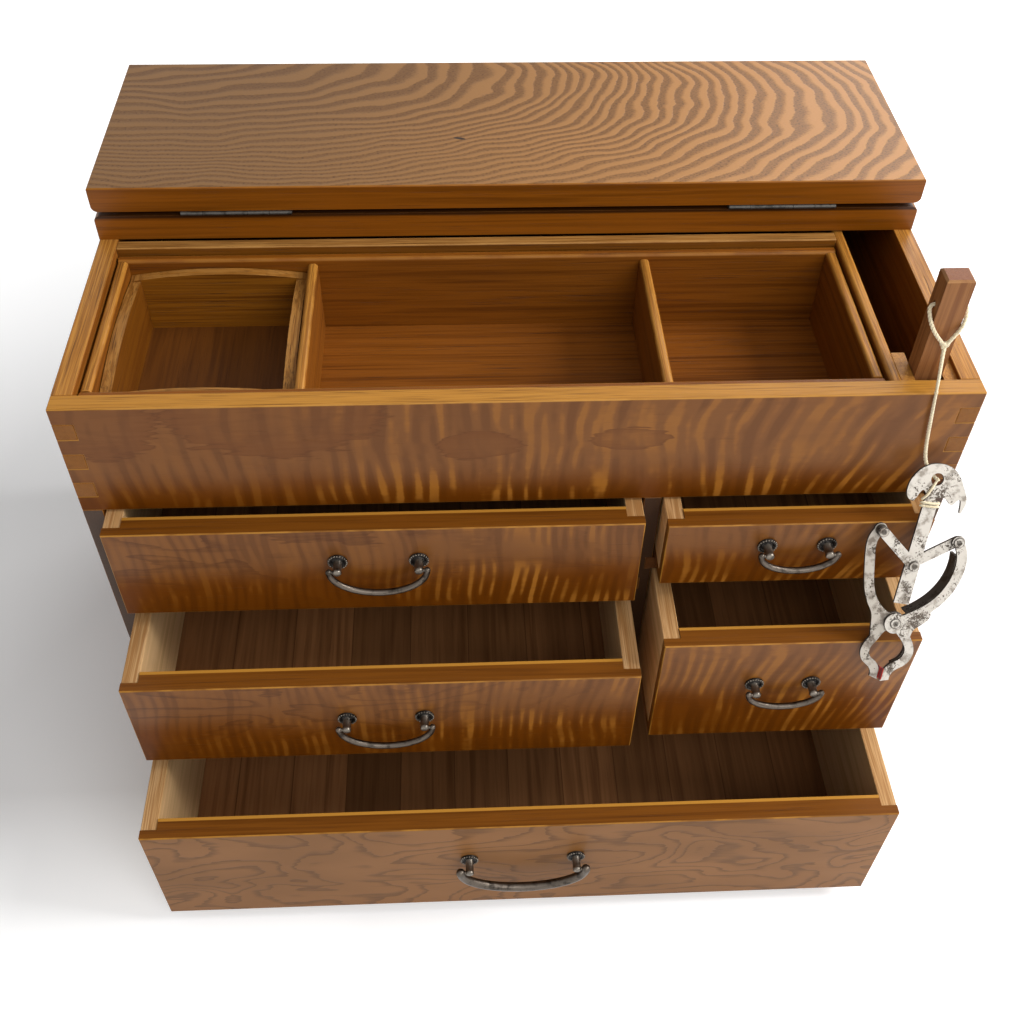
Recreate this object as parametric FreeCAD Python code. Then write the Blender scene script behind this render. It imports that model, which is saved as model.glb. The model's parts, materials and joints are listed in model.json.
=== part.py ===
import FreeCAD
import Part
import math
import os

from FreeCAD import Vector

# A small sewing cabinet: a box-jointed case with five drawers, a hinged half lid that folds back on a
# fixed rear top, a lift-out tray with a pin box, and a folding post from which a cloth clamp hangs.
# Millimetres. X runs to the right, Y to the back, Z up.
# The origin is on the floor under the middle of the case.
# The drawers are modelled pulled out, the lid folded back and the post upright.

# Case boards
CASE_WIDTH = 394.0
CASE_DEPTH = 242.0
SIDE_BOARD = 9.0
BOTTOM_BOARD = 10.0
BACK_BOARD = 8.0
SHELF_BOARD = 8.0
DIVIDER_BOARD = 8.0
UPPER_FLOOR_BOARD = 10.0
PANEL_BOARD = 9.0
PANEL_HEIGHT = 61.0
HOUSING_DEPTH = 3.0
BACK_REBATE = 5.0
FINGER_DIVISIONS = 7
SAME_PLACE = 0.001
EASED_EDGE = 0.8

# Fixed rear top and folding lid
REAR_TOP_BOARD = 13.0
REAR_TOP_DEPTH = 122.5
LID_DEPTH = 118.0
LID_SEAT_GAP = 0.4
LID_JOINT = 0.5
TOP_ROUND = 3.0

# Butt hinges of the lid
HINGE_LENGTH = 52.0
HINGE_INSET = 41.0
HINGE_LEAF = 0.9
HINGE_LEAF_WIDTH = 17.0
HINGE_KNUCKLES = 5
LEAF_GAP = 0.4
KNUCKLE_STANDOFF = 0.05
KNUCKLE_GAP = 0.2
HINGE_PIN_RADIUS = 0.55
RUNNING_FIT = 0.04
SCREW_HEAD_RADIUS = 1.7
SCREW_SHANK_RADIUS = 0.9
SCREW_LENGTH = 8.0
SCREW_COUNT = 3
SCREW_ZIGZAG = 0.125
SCREW_FIT = 0.05

# Drawers
DRAWER_GAP = 1.0
RUNNER_GAP = 0.3
FRONT_BOARD = 11.0
FRONT_LAP = 6.0
DRAWER_SIDE = 8.0
DRAWER_BACK = 8.0
DRAWER_BOTTOM = 5.0
DRAWER_REAR_GAP = 4.0
DRAWER_SIDE_DROP = 0.5
DRAWER_BACK_DROP = 7.0
LEFT_FRONT_WIDTH = 242.5
BOTTOM_FRONT_HEIGHT = 82.0
MIDDLE_LEFT_HEIGHT = 61.0
TOP_LEFT_HEIGHT = 56.0
TOP_RIGHT_HEIGHT = 40.5
BOTTOM_PULL_OUT = 90.0
MIDDLE_LEFT_PULL_OUT = 52.5
MIDDLE_RIGHT_PULL_OUT = 46.8
TOP_LEFT_PULL_OUT = 15.0
TOP_RIGHT_PULL_OUT = 17.2

# Drop handles
LEFT_HANDLE_CENTRES = 37.2
RIGHT_HANDLE_CENTRES = 27.8
BOTTOM_HANDLE_CENTRES = 54.4
LEFT_HANDLE_DROP = 15.4
RIGHT_HANDLE_DROP = 10.8
BOTTOM_HANDLE_DROP = 18.2
SMALL_ROD_RADIUS = 1.6
LARGE_ROD_RADIUS = 2.4
ROSETTE_RADIUS = 4.7
ROSETTE_THICKNESS = 1.8
ROSETTE_FLUTES = 14
FLUTE_RADIUS = 0.7
HANDLE_POST_RADIUS = 1.6
SMALL_POST_REACH = 6.8
LARGE_POST_REACH = 7.6
HANDLE_KNOB_RADIUS = 1.9
TRUNNION_RADIUS = 0.9
SHANK_RADIUS = 1.4
NUT_RADIUS = 3.4
NUT_THICKNESS = 1.6
HANDLE_SIDE_GAP = 0.25
HANDLE_CORNER_SHARE = 0.7
TOP_LEFT_HANDLE_SHARE = 0.635
TOP_RIGHT_HANDLE_SHARE = 0.66
MIDDLE_LEFT_HANDLE_SHARE = 0.56
MIDDLE_RIGHT_HANDLE_SHARE = 0.59
BOTTOM_HANDLE_SHARE = 0.61

# Tray, its dividers and the pin box
TRAY_SIDE_GAP = 1.0
TRAY_SEAT_GAP = 0.3
TRAY_WALL = 5.0
TRAY_FLOOR = 6.7
TRAY_TOP_DROP = 3.0
TRAY_DIVIDER = 4.8
DIVIDER_DROP = 2.5
LEFT_COMPARTMENT = 84.2
RIGHT_COMPARTMENT = 86.0
PIN_BOX_GAP = 0.5
PIN_BOX_WALL = 5.0
PIN_BOX_FLOOR = 5.2
PIN_BOX_HEIGHT = 33.0
PIN_BOX_CROWN = 3.5
WALL_TOP_ROUND = 1.8
WALL_ROUND_SHARE = 0.45

# Upper compartment: stop rail behind the tray, slot and its partition
STOP_RAIL = 6.0
STOP_RAIL_HEIGHT = 18.0
STOP_RAIL_SETBACK = 1.5
SLOT_WIDTH = 24.6
PARTITION = 5.4
PARTITION_DROP = 1.0

# Folding post and its cheeks
POST_WIDTH = 12.0
POST_THICKNESS = 10.0
POST_RISE = 48.3
POST_PIVOT_DROP = 20.0
POST_SETBACK = 18.5
POST_CHAMFER = 0.9
POST_SIDE_GAP = 0.3
POST_PIN_RADIUS = 2.0
CHEEK_DEPTH = 20.5
CHEEK_DROP = 2.0
CORD_HOLE_DROP = 14.8
CORD_HOLE_RADIUS = 1.3

# Cloth clamp, in its own plane: the pivot is its zero, the bar runs up from it
CLAMP_X = 171.4
CLAMP_REACH = 48.0
CLAMP_ROLL = 10.7
CLAMP_PLATE = 1.4
CLAMP_LAYER_GAP = 0.3
CLAMP_STANDOFF = 1.0
ARM_WIDTH = 4.6
JAW_WIDTH = 4.2
ARM_EYE_RADIUS = 3.0
ARM_PIN_U = 18.2
ARM_PIN_V = 42.8
RIVET_V = 29.0
BAR_FOOT_V = 10.0
BAR_TOP_WIDTH = 6.2
BAR_FOOT_WIDTH = 7.2
BAR_NECK_V = 60.0
HEAD_HOLE_V = 70.0
HEAD_HOLE_RADIUS = 2.9
HEAD_OUTLINE = [
    (-3.1, 61.8), (-5.2, 64.2), (-6.6, 61.8), (-8.4, 58.6), (-11.2, 60.1), (-12.2, 63.2), (-12.0, 66.9),
    (-10.4, 70.9), (-7.3, 74.6), (-3.6, 76.6), (0.5, 77.2), (4.3, 76.6), (7.7, 74.9), (10.7, 71.8),
    (13.0, 68.2), (15.2, 64.4), (15.9, 60.2), (14.4, 56.2), (13.7, 60.0), (12.6, 62.4), (11.2, 61.0),
    (9.4, 59.4), (7.0, 61.2), (3.1, 61.8), (0.0, 59.6),
]
LINK_WIDTH = 4.8
CLAMP_PIN_RADIUS = 1.4
RIVET_HEAD_RADIUS = 2.3
RIVET_HEAD = 0.5
BOSS_RADIUS = 5.0
LINK_PLAY = 0.5
FLANGE_DEPTH = 7.0
JAW_FLANGE_DEPTH = 2.0
FLANGE_THICKNESS = 1.2
JAW_GAP = 0.8
ARM_CURVE = [
    (ARM_PIN_U, ARM_PIN_V), (21.6, 36.5), (22.0, 27.0), (19.0, 17.5), (13.0, 9.4), (5.5, 3.6), (0.0, 0.0),
]
JAW_CURVE = [(0.0, 0.0), (6.6, -6.2), (10.2, -13.2), (8.2, -18.4), (4.3, -21.6), (2.5, -25.0), (2.5, -28.6)]
LEFT_ARM_CURVE = [
    (-ARM_PIN_U, ARM_PIN_V), (-20.6, 37.0), (-20.0, 31.0), (-18.2, 22.8), (-15.9, 14.6), (-11.8, 7.6),
    (-6.0, 2.8), (0.0, 0.0),
]
LEFT_JAW_CURVE = [
    (0.0, 0.0), (-5.2, -4.4), (-7.6, -9.4), (-9.8, -15.4), (-8.2, -19.6), (-4.2, -22.6), (-2.5, -25.6),
    (-2.5, -28.6),
]
RIGHT_WEB = [
    (14.6, 8.2), (15.2, 5.8), (12.0, 1.0), (8.8, -3.4), (8.2, -7.6), (4.4, -5.6), (0.0, -2.5), (0.0, 2.5),
    (6.0, 5.2), (11.2, 8.6),
]
LEFT_WEB = [
    (-14.6, 11.6), (-15.6, 10.0), (-12.2, 3.6), (-10.8, -1.0), (-10.0, -5.4), (-8.6, -9.6), (-4.8, -6.4),
    (0.0, -2.5), (0.0, 2.5), (-6.0, 4.8), (-11.0, 9.0),
]

# Cord: a loop through the post, a knot, a run over the front panel's edge and a run down to the clamp
CORD_RADIUS = 0.9
KNOT_RADIUS = 2.0
KNOT_PLACE = (176.2, -110.4, 309.7)
CORD_BREAK = 1.2
CORD_ARC_SHARE = 0.45
LOOP_ROUTE = [
    (174.9, -110.3, 310.9), (172.3, -110.0, 313.6), (169.1, -108.6, 318.0), (167.8, -105.6, 322.0),
    (167.8, -103.2, 324.6), (170.0, -102.5, 325.5), (175.7, -102.5, 325.6), (181.4, -102.5, 325.5),
    (183.6, -103.2, 324.6), (183.6, -105.6, 322.0), (182.3, -108.6, 318.0), (179.1, -110.0, 313.6),
    (177.5, -110.3, 310.9),
]
EDGE_ROUTE = [(176.2, -110.8, 308.6), (175.1, -116.4, 302.0), (173.8, -122.4, 294.0)]
HANG_ROUTE = [
    (173.8, -122.4, 294.0), (175.0, -122.9, 283.0), (176.3, -123.3, 272.0), (178.0, -123.6, 260.5),
    (179.5, -124.9, 254.3), (182.0, -127.4, 250.6), (183.9, -129.7, 249.5), (184.5, -131.8, 250.0),
]

# Levels and places worked out from the sizes above
HALF_WIDTH = CASE_WIDTH / 2
INNER_X = HALF_WIDTH - SIDE_BOARD
FRONT_Y = -CASE_DEPTH / 2
BACK_Y = CASE_DEPTH / 2
BACK_FACE_Y = BACK_Y - BACK_BOARD
PANEL_BACK_Y = FRONT_Y + PANEL_BOARD
BOTTOM_FRONT_Z = BOTTOM_BOARD + DRAWER_GAP
LOWER_SHELF_Z = BOTTOM_FRONT_Z + BOTTOM_FRONT_HEIGHT + DRAWER_GAP
LOWER_SHELF_TOP = LOWER_SHELF_Z + SHELF_BOARD
LEFT_SHELF_Z = LOWER_SHELF_TOP + DRAWER_GAP + MIDDLE_LEFT_HEIGHT + DRAWER_GAP
LEFT_SHELF_TOP = LEFT_SHELF_Z + SHELF_BOARD
PANEL_Z = LEFT_SHELF_TOP + DRAWER_GAP + TOP_LEFT_HEIGHT + DRAWER_GAP
CASE_TOP = PANEL_Z + PANEL_HEIGHT
RIGHT_SHELF_TOP = PANEL_Z - DRAWER_GAP - TOP_RIGHT_HEIGHT - DRAWER_GAP
RIGHT_SHELF_Z = RIGHT_SHELF_TOP - SHELF_BOARD
MIDDLE_RIGHT_HEIGHT = RIGHT_SHELF_Z - LOWER_SHELF_TOP - 2 * DRAWER_GAP
UPPER_FLOOR_TOP = PANEL_Z + UPPER_FLOOR_BOARD
DIVIDER_X = -INNER_X + DRAWER_GAP + LEFT_FRONT_WIDTH + DRAWER_GAP
RIGHT_BAY_X = DIVIDER_X + DIVIDER_BOARD
REAR_TOP_Y = BACK_Y - REAR_TOP_DEPTH
REAR_TOP_TOP = CASE_TOP + REAR_TOP_BOARD
LID_BOARD = REAR_TOP_BOARD - LID_SEAT_GAP
HINGE_Y = REAR_TOP_Y - LID_JOINT / 2
KNUCKLE_RADIUS = HINGE_LEAF + LEAF_GAP / 2 - KNUCKLE_STANDOFF
HINGE_Z = REAR_TOP_TOP + KNUCKLE_STANDOFF + KNUCKLE_RADIUS
LID_OPEN_Z = 2 * HINGE_Z - REAR_TOP_TOP
SLOT_X = INNER_X - SLOT_WIDTH
PARTITION_X = SLOT_X - PARTITION
STOP_RAIL_Y = REAR_TOP_Y - STOP_RAIL_SETBACK - STOP_RAIL
TRAY_X0 = -INNER_X + TRAY_SIDE_GAP
TRAY_X1 = PARTITION_X - TRAY_SIDE_GAP
TRAY_Y0 = PANEL_BACK_Y + TRAY_SIDE_GAP
TRAY_Y1 = STOP_RAIL_Y - TRAY_SIDE_GAP
TRAY_Z0 = UPPER_FLOOR_TOP + TRAY_SEAT_GAP
TRAY_FLOOR_TOP = TRAY_Z0 + TRAY_FLOOR
TRAY_TOP = CASE_TOP - TRAY_TOP_DROP
POST_X = SLOT_X + SLOT_WIDTH / 2
POST_Y = FRONT_Y + POST_SETBACK
POST_PIVOT_Z = CASE_TOP - POST_PIVOT_DROP
POST_TOP = CASE_TOP + POST_RISE


def block(x0, x1, y0, y1, z0, z1):
    """Rectangular board between two corners."""
    return Part.makeBox(x1 - x0, y1 - y0, z1 - z0, Vector(x0, y0, z0))


def rod_x(x0, x1, y, z, radius):
    """Round rod along X."""
    return Part.makeCylinder(radius, x1 - x0, Vector(x0, y, z), Vector(1, 0, 0))


def rounded(shape, radius, test):
    """Shape with the edges rounded whose middle passes a test."""
    middles = [(e, e.valueAt((e.FirstParameter + e.LastParameter) / 2)) for e in shape.Edges]
    return shape.makeFillet(radius, [e for e, middle in middles if test(middle)])


def near(a, b):
    """True where two lengths are the same place."""
    return abs(a - b) < SAME_PLACE


def top_round(thickness):
    """Radius of a thin wall's rounded top edges, limited by the wall."""
    return min(WALL_TOP_ROUND, WALL_ROUND_SHARE * thickness)


def export(name, *solids):
    """Write one sub-part as its own file."""
    for solid in solids:
        assert solid.isValid() and len(solid.Solids) == 1, name
    shape = solids[0] if len(solids) == 1 else Part.makeCompound(list(solids))
    shape.exportStep("parts/" + name + ".step")


def finger_blocks(x0, x1, side_fingers):
    """Blocks of the corner joint that belong to the front panel, or to the side between them."""
    step = PANEL_HEIGHT / FINGER_DIVISIONS
    start = 1 if side_fingers else 0
    levels = [PANEL_Z + step * i for i in range(start, FINGER_DIVISIONS, 2)]
    return [block(x0, x1, FRONT_Y, PANEL_BACK_Y, z, z + step) for z in levels]


def housings():
    """Full-width spaces that the case's cross boards take in the two sides."""
    reach = INNER_X + HOUSING_DEPTH
    levels = [(0.0, BOTTOM_BOARD), (LOWER_SHELF_Z, LOWER_SHELF_TOP)]
    boards = [block(-reach, reach, FRONT_Y, BACK_FACE_Y, z0, z1) for z0, z1 in levels]
    boards.append(block(-reach, reach, PANEL_BACK_Y, BACK_FACE_Y, PANEL_Z, UPPER_FLOOR_TOP))
    return boards


def row_shelves():
    """The two short shelves between the sides and the column divider."""
    left = block(-INNER_X - HOUSING_DEPTH, DIVIDER_X + HOUSING_DEPTH, FRONT_Y, BACK_FACE_Y,
                 LEFT_SHELF_Z, LEFT_SHELF_TOP)
    right = block(RIGHT_BAY_X - HOUSING_DEPTH, INNER_X + HOUSING_DEPTH, FRONT_Y, BACK_FACE_Y,
                  RIGHT_SHELF_Z, RIGHT_SHELF_TOP)
    return left, right


def back_panel():
    """Back board, let into rebates in the sides."""
    reach = INNER_X + BACK_REBATE
    return block(-reach, reach, BACK_FACE_Y, BACK_Y, 0, CASE_TOP)


def side_board(x0, x1):
    """One side of the case with its corner fingers, housings and rebate."""
    board = block(x0, x1, FRONT_Y, BACK_Y, 0, CASE_TOP)
    cuts = finger_blocks(x0, x1, False) + housings() + list(row_shelves()) + [back_panel()]
    return board.cut(Part.makeCompound(cuts))


def make_case():
    """Fixed boards of the case."""
    export("left_side", side_board(-HALF_WIDTH, -INNER_X))
    export("right_side", side_board(INNER_X, HALF_WIDTH))
    bottom, lower_shelf, upper_floor = housings()
    export("bottom_board", bottom)
    export("lower_shelf", lower_shelf)
    export("upper_floor", upper_floor)
    export("row_shelves", *row_shelves())
    export("back_panel", back_panel())

    divider = block(DIVIDER_X, RIGHT_BAY_X, FRONT_Y, BACK_FACE_Y, LOWER_SHELF_TOP, PANEL_Z)
    export("column_divider", divider.cut(Part.makeCompound(list(row_shelves()))))

    panel = block(-HALF_WIDTH, HALF_WIDTH, FRONT_Y, PANEL_BACK_Y, PANEL_Z, CASE_TOP)
    fingers = finger_blocks(-HALF_WIDTH, -INNER_X, True) + finger_blocks(INNER_X, HALF_WIDTH, True)
    panel = panel.cut(Part.makeCompound(fingers))
    panel = rounded(panel, EASED_EDGE, lambda p: near(p.z, CASE_TOP) and near(p.y, FRONT_Y))
    export("upper_front_panel", panel)

    rail_z = CASE_TOP - STOP_RAIL_HEIGHT
    rail = block(-INNER_X, PARTITION_X, STOP_RAIL_Y, STOP_RAIL_Y + STOP_RAIL, rail_z, CASE_TOP)
    rail = rounded(rail, EASED_EDGE, lambda p: near(p.z, CASE_TOP) and near(p.y, STOP_RAIL_Y))
    export("tray_stop_rail", rail)

    partition_top = CASE_TOP - PARTITION_DROP
    partition = block(PARTITION_X, SLOT_X, PANEL_BACK_Y, BACK_FACE_Y, UPPER_FLOOR_TOP, partition_top)
    faces_x = (PARTITION_X, SLOT_X)
    partition = rounded(partition, top_round(PARTITION),
                        lambda p: near(p.z, partition_top) and any(near(p.x, x) for x in faces_x))
    export("slot_partition", partition)


def hinge_spans():
    """Start of each hinge along X."""
    return [-HALF_WIDTH + HINGE_INSET, HALF_WIDTH - HINGE_INSET - HINGE_LENGTH]


def screw_places(x_start, y_middle):
    """Places of the screws in one leaf, in a slight zigzag."""
    step = HINGE_LENGTH / SCREW_COUNT
    zigzag = SCREW_ZIGZAG * HINGE_LEAF_WIDTH
    return [(x_start + step * (i + 0.5), y_middle + zigzag * (1 - 2 * (i % 2))) for i in range(SCREW_COUNT)]


def countersunk(x, y, z, down, fit):
    """Countersunk screw, or its hole where it has a fit. The head's face is at z."""
    head = Part.makeCone(SCREW_HEAD_RADIUS + fit, SCREW_SHANK_RADIUS + fit, HINGE_LEAF, Vector(x, y, z), down)
    shank = Part.makeCylinder(SCREW_SHANK_RADIUS + fit, SCREW_LENGTH + fit, Vector(x, y, z), down)
    return head.fuse(shank).removeSplitter()


def hinge_leaf(x_start, first):
    """Leaf that lies on the rear top, with every second knuckle from the one named first."""
    step = HINGE_LENGTH / HINGE_KNUCKLES
    z0 = REAR_TOP_TOP
    plate_y = HINGE_Y + KNUCKLE_RADIUS + KNUCKLE_GAP
    leaf = block(x_start, x_start + HINGE_LENGTH, plate_y, HINGE_Y + HINGE_LEAF_WIDTH, z0, z0 + HINGE_LEAF)
    for i in range(first, HINGE_KNUCKLES, 2):
        a = x_start + step * i + KNUCKLE_GAP / 2
        b = x_start + step * (i + 1) - KNUCKLE_GAP / 2
        tab = block(a, b, HINGE_Y, plate_y, z0 + KNUCKLE_STANDOFF, z0 + HINGE_LEAF)
        leaf = leaf.fuse(tab).fuse(rod_x(a, b, HINGE_Y, HINGE_Z, KNUCKLE_RADIUS))
    bore = rod_x(x_start, x_start + HINGE_LENGTH, HINGE_Y, HINGE_Z, HINGE_PIN_RADIUS + RUNNING_FIT)
    leaf = leaf.cut(bore)
    for x, y in screw_places(x_start, HINGE_Y + HINGE_LEAF_WIDTH / 2):
        leaf = leaf.cut(countersunk(x, y, z0 + HINGE_LEAF, Vector(0, 0, -1), SCREW_FIT))
    return leaf.removeSplitter()


def turned_over(shape):
    """Shape mirrored through the level of the hinge pins, as the open lid's fittings lie."""
    return shape.mirror(Vector(0, HINGE_Y, HINGE_Z), Vector(0, 0, 1))


def screws(z, down):
    """All the screws of one set of leaves."""
    places = [p for x in hinge_spans() for p in screw_places(x, HINGE_Y + HINGE_LEAF_WIDTH / 2)]
    return [countersunk(x, y, z, down, 0.0) for x, y in places]


def screw_holes(z, down):
    """Clearance holes for those screws."""
    places = [p for x in hinge_spans() for p in screw_places(x, HINGE_Y + HINGE_LEAF_WIDTH / 2)]
    return Part.makeCompound([countersunk(x, y, z, down, SCREW_FIT) for x, y in places])


def make_top():
    """Fixed rear top, folded-back lid and the hinges between them."""
    rear = block(-HALF_WIDTH, HALF_WIDTH, REAR_TOP_Y, BACK_Y, CASE_TOP, REAR_TOP_TOP)
    rear = rounded(rear, TOP_ROUND, lambda p: near(p.z, REAR_TOP_TOP) and not near(p.y, REAR_TOP_Y))
    down = Vector(0, 0, -1)
    up = Vector(0, 0, 1)
    fixed_face = REAR_TOP_TOP + HINGE_LEAF
    lid_face = LID_OPEN_Z - HINGE_LEAF
    export("rear_top", rear.cut(screw_holes(fixed_face, down)))

    lid_y = HINGE_Y + LID_JOINT / 2
    lid = block(-HALF_WIDTH, HALF_WIDTH, lid_y, lid_y + LID_DEPTH, LID_OPEN_Z, LID_OPEN_Z + LID_BOARD)
    lid = rounded(lid, TOP_ROUND, lambda p: near(p.z, LID_OPEN_Z) and not near(p.y, lid_y))
    lid = rounded(lid, EASED_EDGE, lambda p: near(p.z, LID_OPEN_Z + LID_BOARD))
    export("lid", lid.cut(screw_holes(lid_face, up)))

    export("hinge_fixed_leaves", *[hinge_leaf(x, 0) for x in hinge_spans()])
    export("hinge_lid_leaves", *[turned_over(hinge_leaf(x, 1)) for x in hinge_spans()])
    pins = [rod_x(x, x + HINGE_LENGTH, HINGE_Y, HINGE_Z, HINGE_PIN_RADIUS) for x in hinge_spans()]
    export("hinge_pins", *pins)
    export("hinge_fixed_screws", *screws(fixed_face, down))
    export("hinge_lid_screws", *screws(lid_face, up))


def make_tray():
    """Lift-out tray with two dividers."""
    x0, x1, y0, y1 = TRAY_X0, TRAY_X1, TRAY_Y0, TRAY_Y1
    inner_y0 = y0 + TRAY_WALL
    inner_y1 = y1 - TRAY_WALL
    walls = [
        block(x0, x1, y0, inner_y0, TRAY_Z0, TRAY_TOP),
        block(x0, x1, inner_y1, y1, TRAY_Z0, TRAY_TOP),
        block(x0, x0 + TRAY_WALL, inner_y0, inner_y1, TRAY_Z0, TRAY_TOP),
        block(x1 - TRAY_WALL, x1, inner_y0, inner_y1, TRAY_Z0, TRAY_TOP),
    ]
    middle_x = (x0 + x1) / 2
    middle_y = (y0 + y1) / 2
    nose = top_round(TRAY_WALL)
    long_walls = [rounded(w, nose, lambda p: near(p.z, TRAY_TOP) and near(p.x, middle_x)) for w in walls[:2]]
    end_walls = [rounded(w, nose, lambda p: near(p.z, TRAY_TOP) and near(p.y, middle_y)) for w in walls[2:]]
    export("tray_long_walls", *long_walls)
    export("tray_end_walls", *end_walls)
    export("tray_bottom", block(x0 + TRAY_WALL, x1 - TRAY_WALL, inner_y0, inner_y1, TRAY_Z0, TRAY_FLOOR_TOP))

    divider_top = TRAY_TOP - DIVIDER_DROP
    left_x = x0 + TRAY_WALL + LEFT_COMPARTMENT
    right_x = x1 - TRAY_WALL - RIGHT_COMPARTMENT - TRAY_DIVIDER
    dividers = [block(x, x + TRAY_DIVIDER, inner_y0, inner_y1, TRAY_FLOOR_TOP, divider_top)
                for x in (left_x, right_x)]
    nose = top_round(TRAY_DIVIDER)
    dividers = [rounded(d, nose, lambda p: near(p.z, divider_top) and near(p.y, middle_y)) for d in dividers]
    export("tray_dividers", *dividers)


def crowned_wall(start, end, thickness_step, z0, z1, crown):
    """Wall from start to end whose top rises in an arc, made thick by a step."""
    lift = Vector(0, 0, z1 - z0)
    middle = (start + end) * 0.5 + lift + Vector(0, 0, crown)
    outline = [
        Part.makeLine(start, end),
        Part.makeLine(end, end + lift),
        Part.Arc(end + lift, middle, start + lift).toShape(),
        Part.makeLine(start + lift, start),
    ]
    return Part.Face(Part.Wire(outline)).extrude(thickness_step)


def make_pin_box():
    """Small loose box with crowned walls in the tray's left compartment."""
    x0 = TRAY_X0 + TRAY_WALL + PIN_BOX_GAP
    x1 = TRAY_X0 + TRAY_WALL + LEFT_COMPARTMENT - PIN_BOX_GAP
    y0 = TRAY_Y0 + TRAY_WALL + PIN_BOX_GAP
    y1 = TRAY_Y1 - TRAY_WALL - PIN_BOX_GAP
    z0 = TRAY_FLOOR_TOP + TRAY_SEAT_GAP
    z1 = z0 + PIN_BOX_HEIGHT
    wall = PIN_BOX_WALL
    back_step = Vector(0, wall, 0)
    side_step = Vector(wall, 0, 0)
    walls = [
        crowned_wall(Vector(x0, y0, z0), Vector(x1, y0, z0), back_step, z0, z1, PIN_BOX_CROWN),
        crowned_wall(Vector(x0, y1 - wall, z0), Vector(x1, y1 - wall, z0), back_step, z0, z1, PIN_BOX_CROWN),
        crowned_wall(Vector(x0, y0 + wall, z0), Vector(x0, y1 - wall, z0), side_step, z0, z1, PIN_BOX_CROWN),
        crowned_wall(Vector(x1 - wall, y0 + wall, z0), Vector(x1 - wall, y1 - wall, z0), side_step,
                     z0, z1, PIN_BOX_CROWN),
    ]
    export("pin_box_walls", *walls)
    export("pin_box_bottom", block(x0 + wall, x1 - wall, y0 + wall, y1 - wall, z0, z0 + PIN_BOX_FLOOR))


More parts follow.
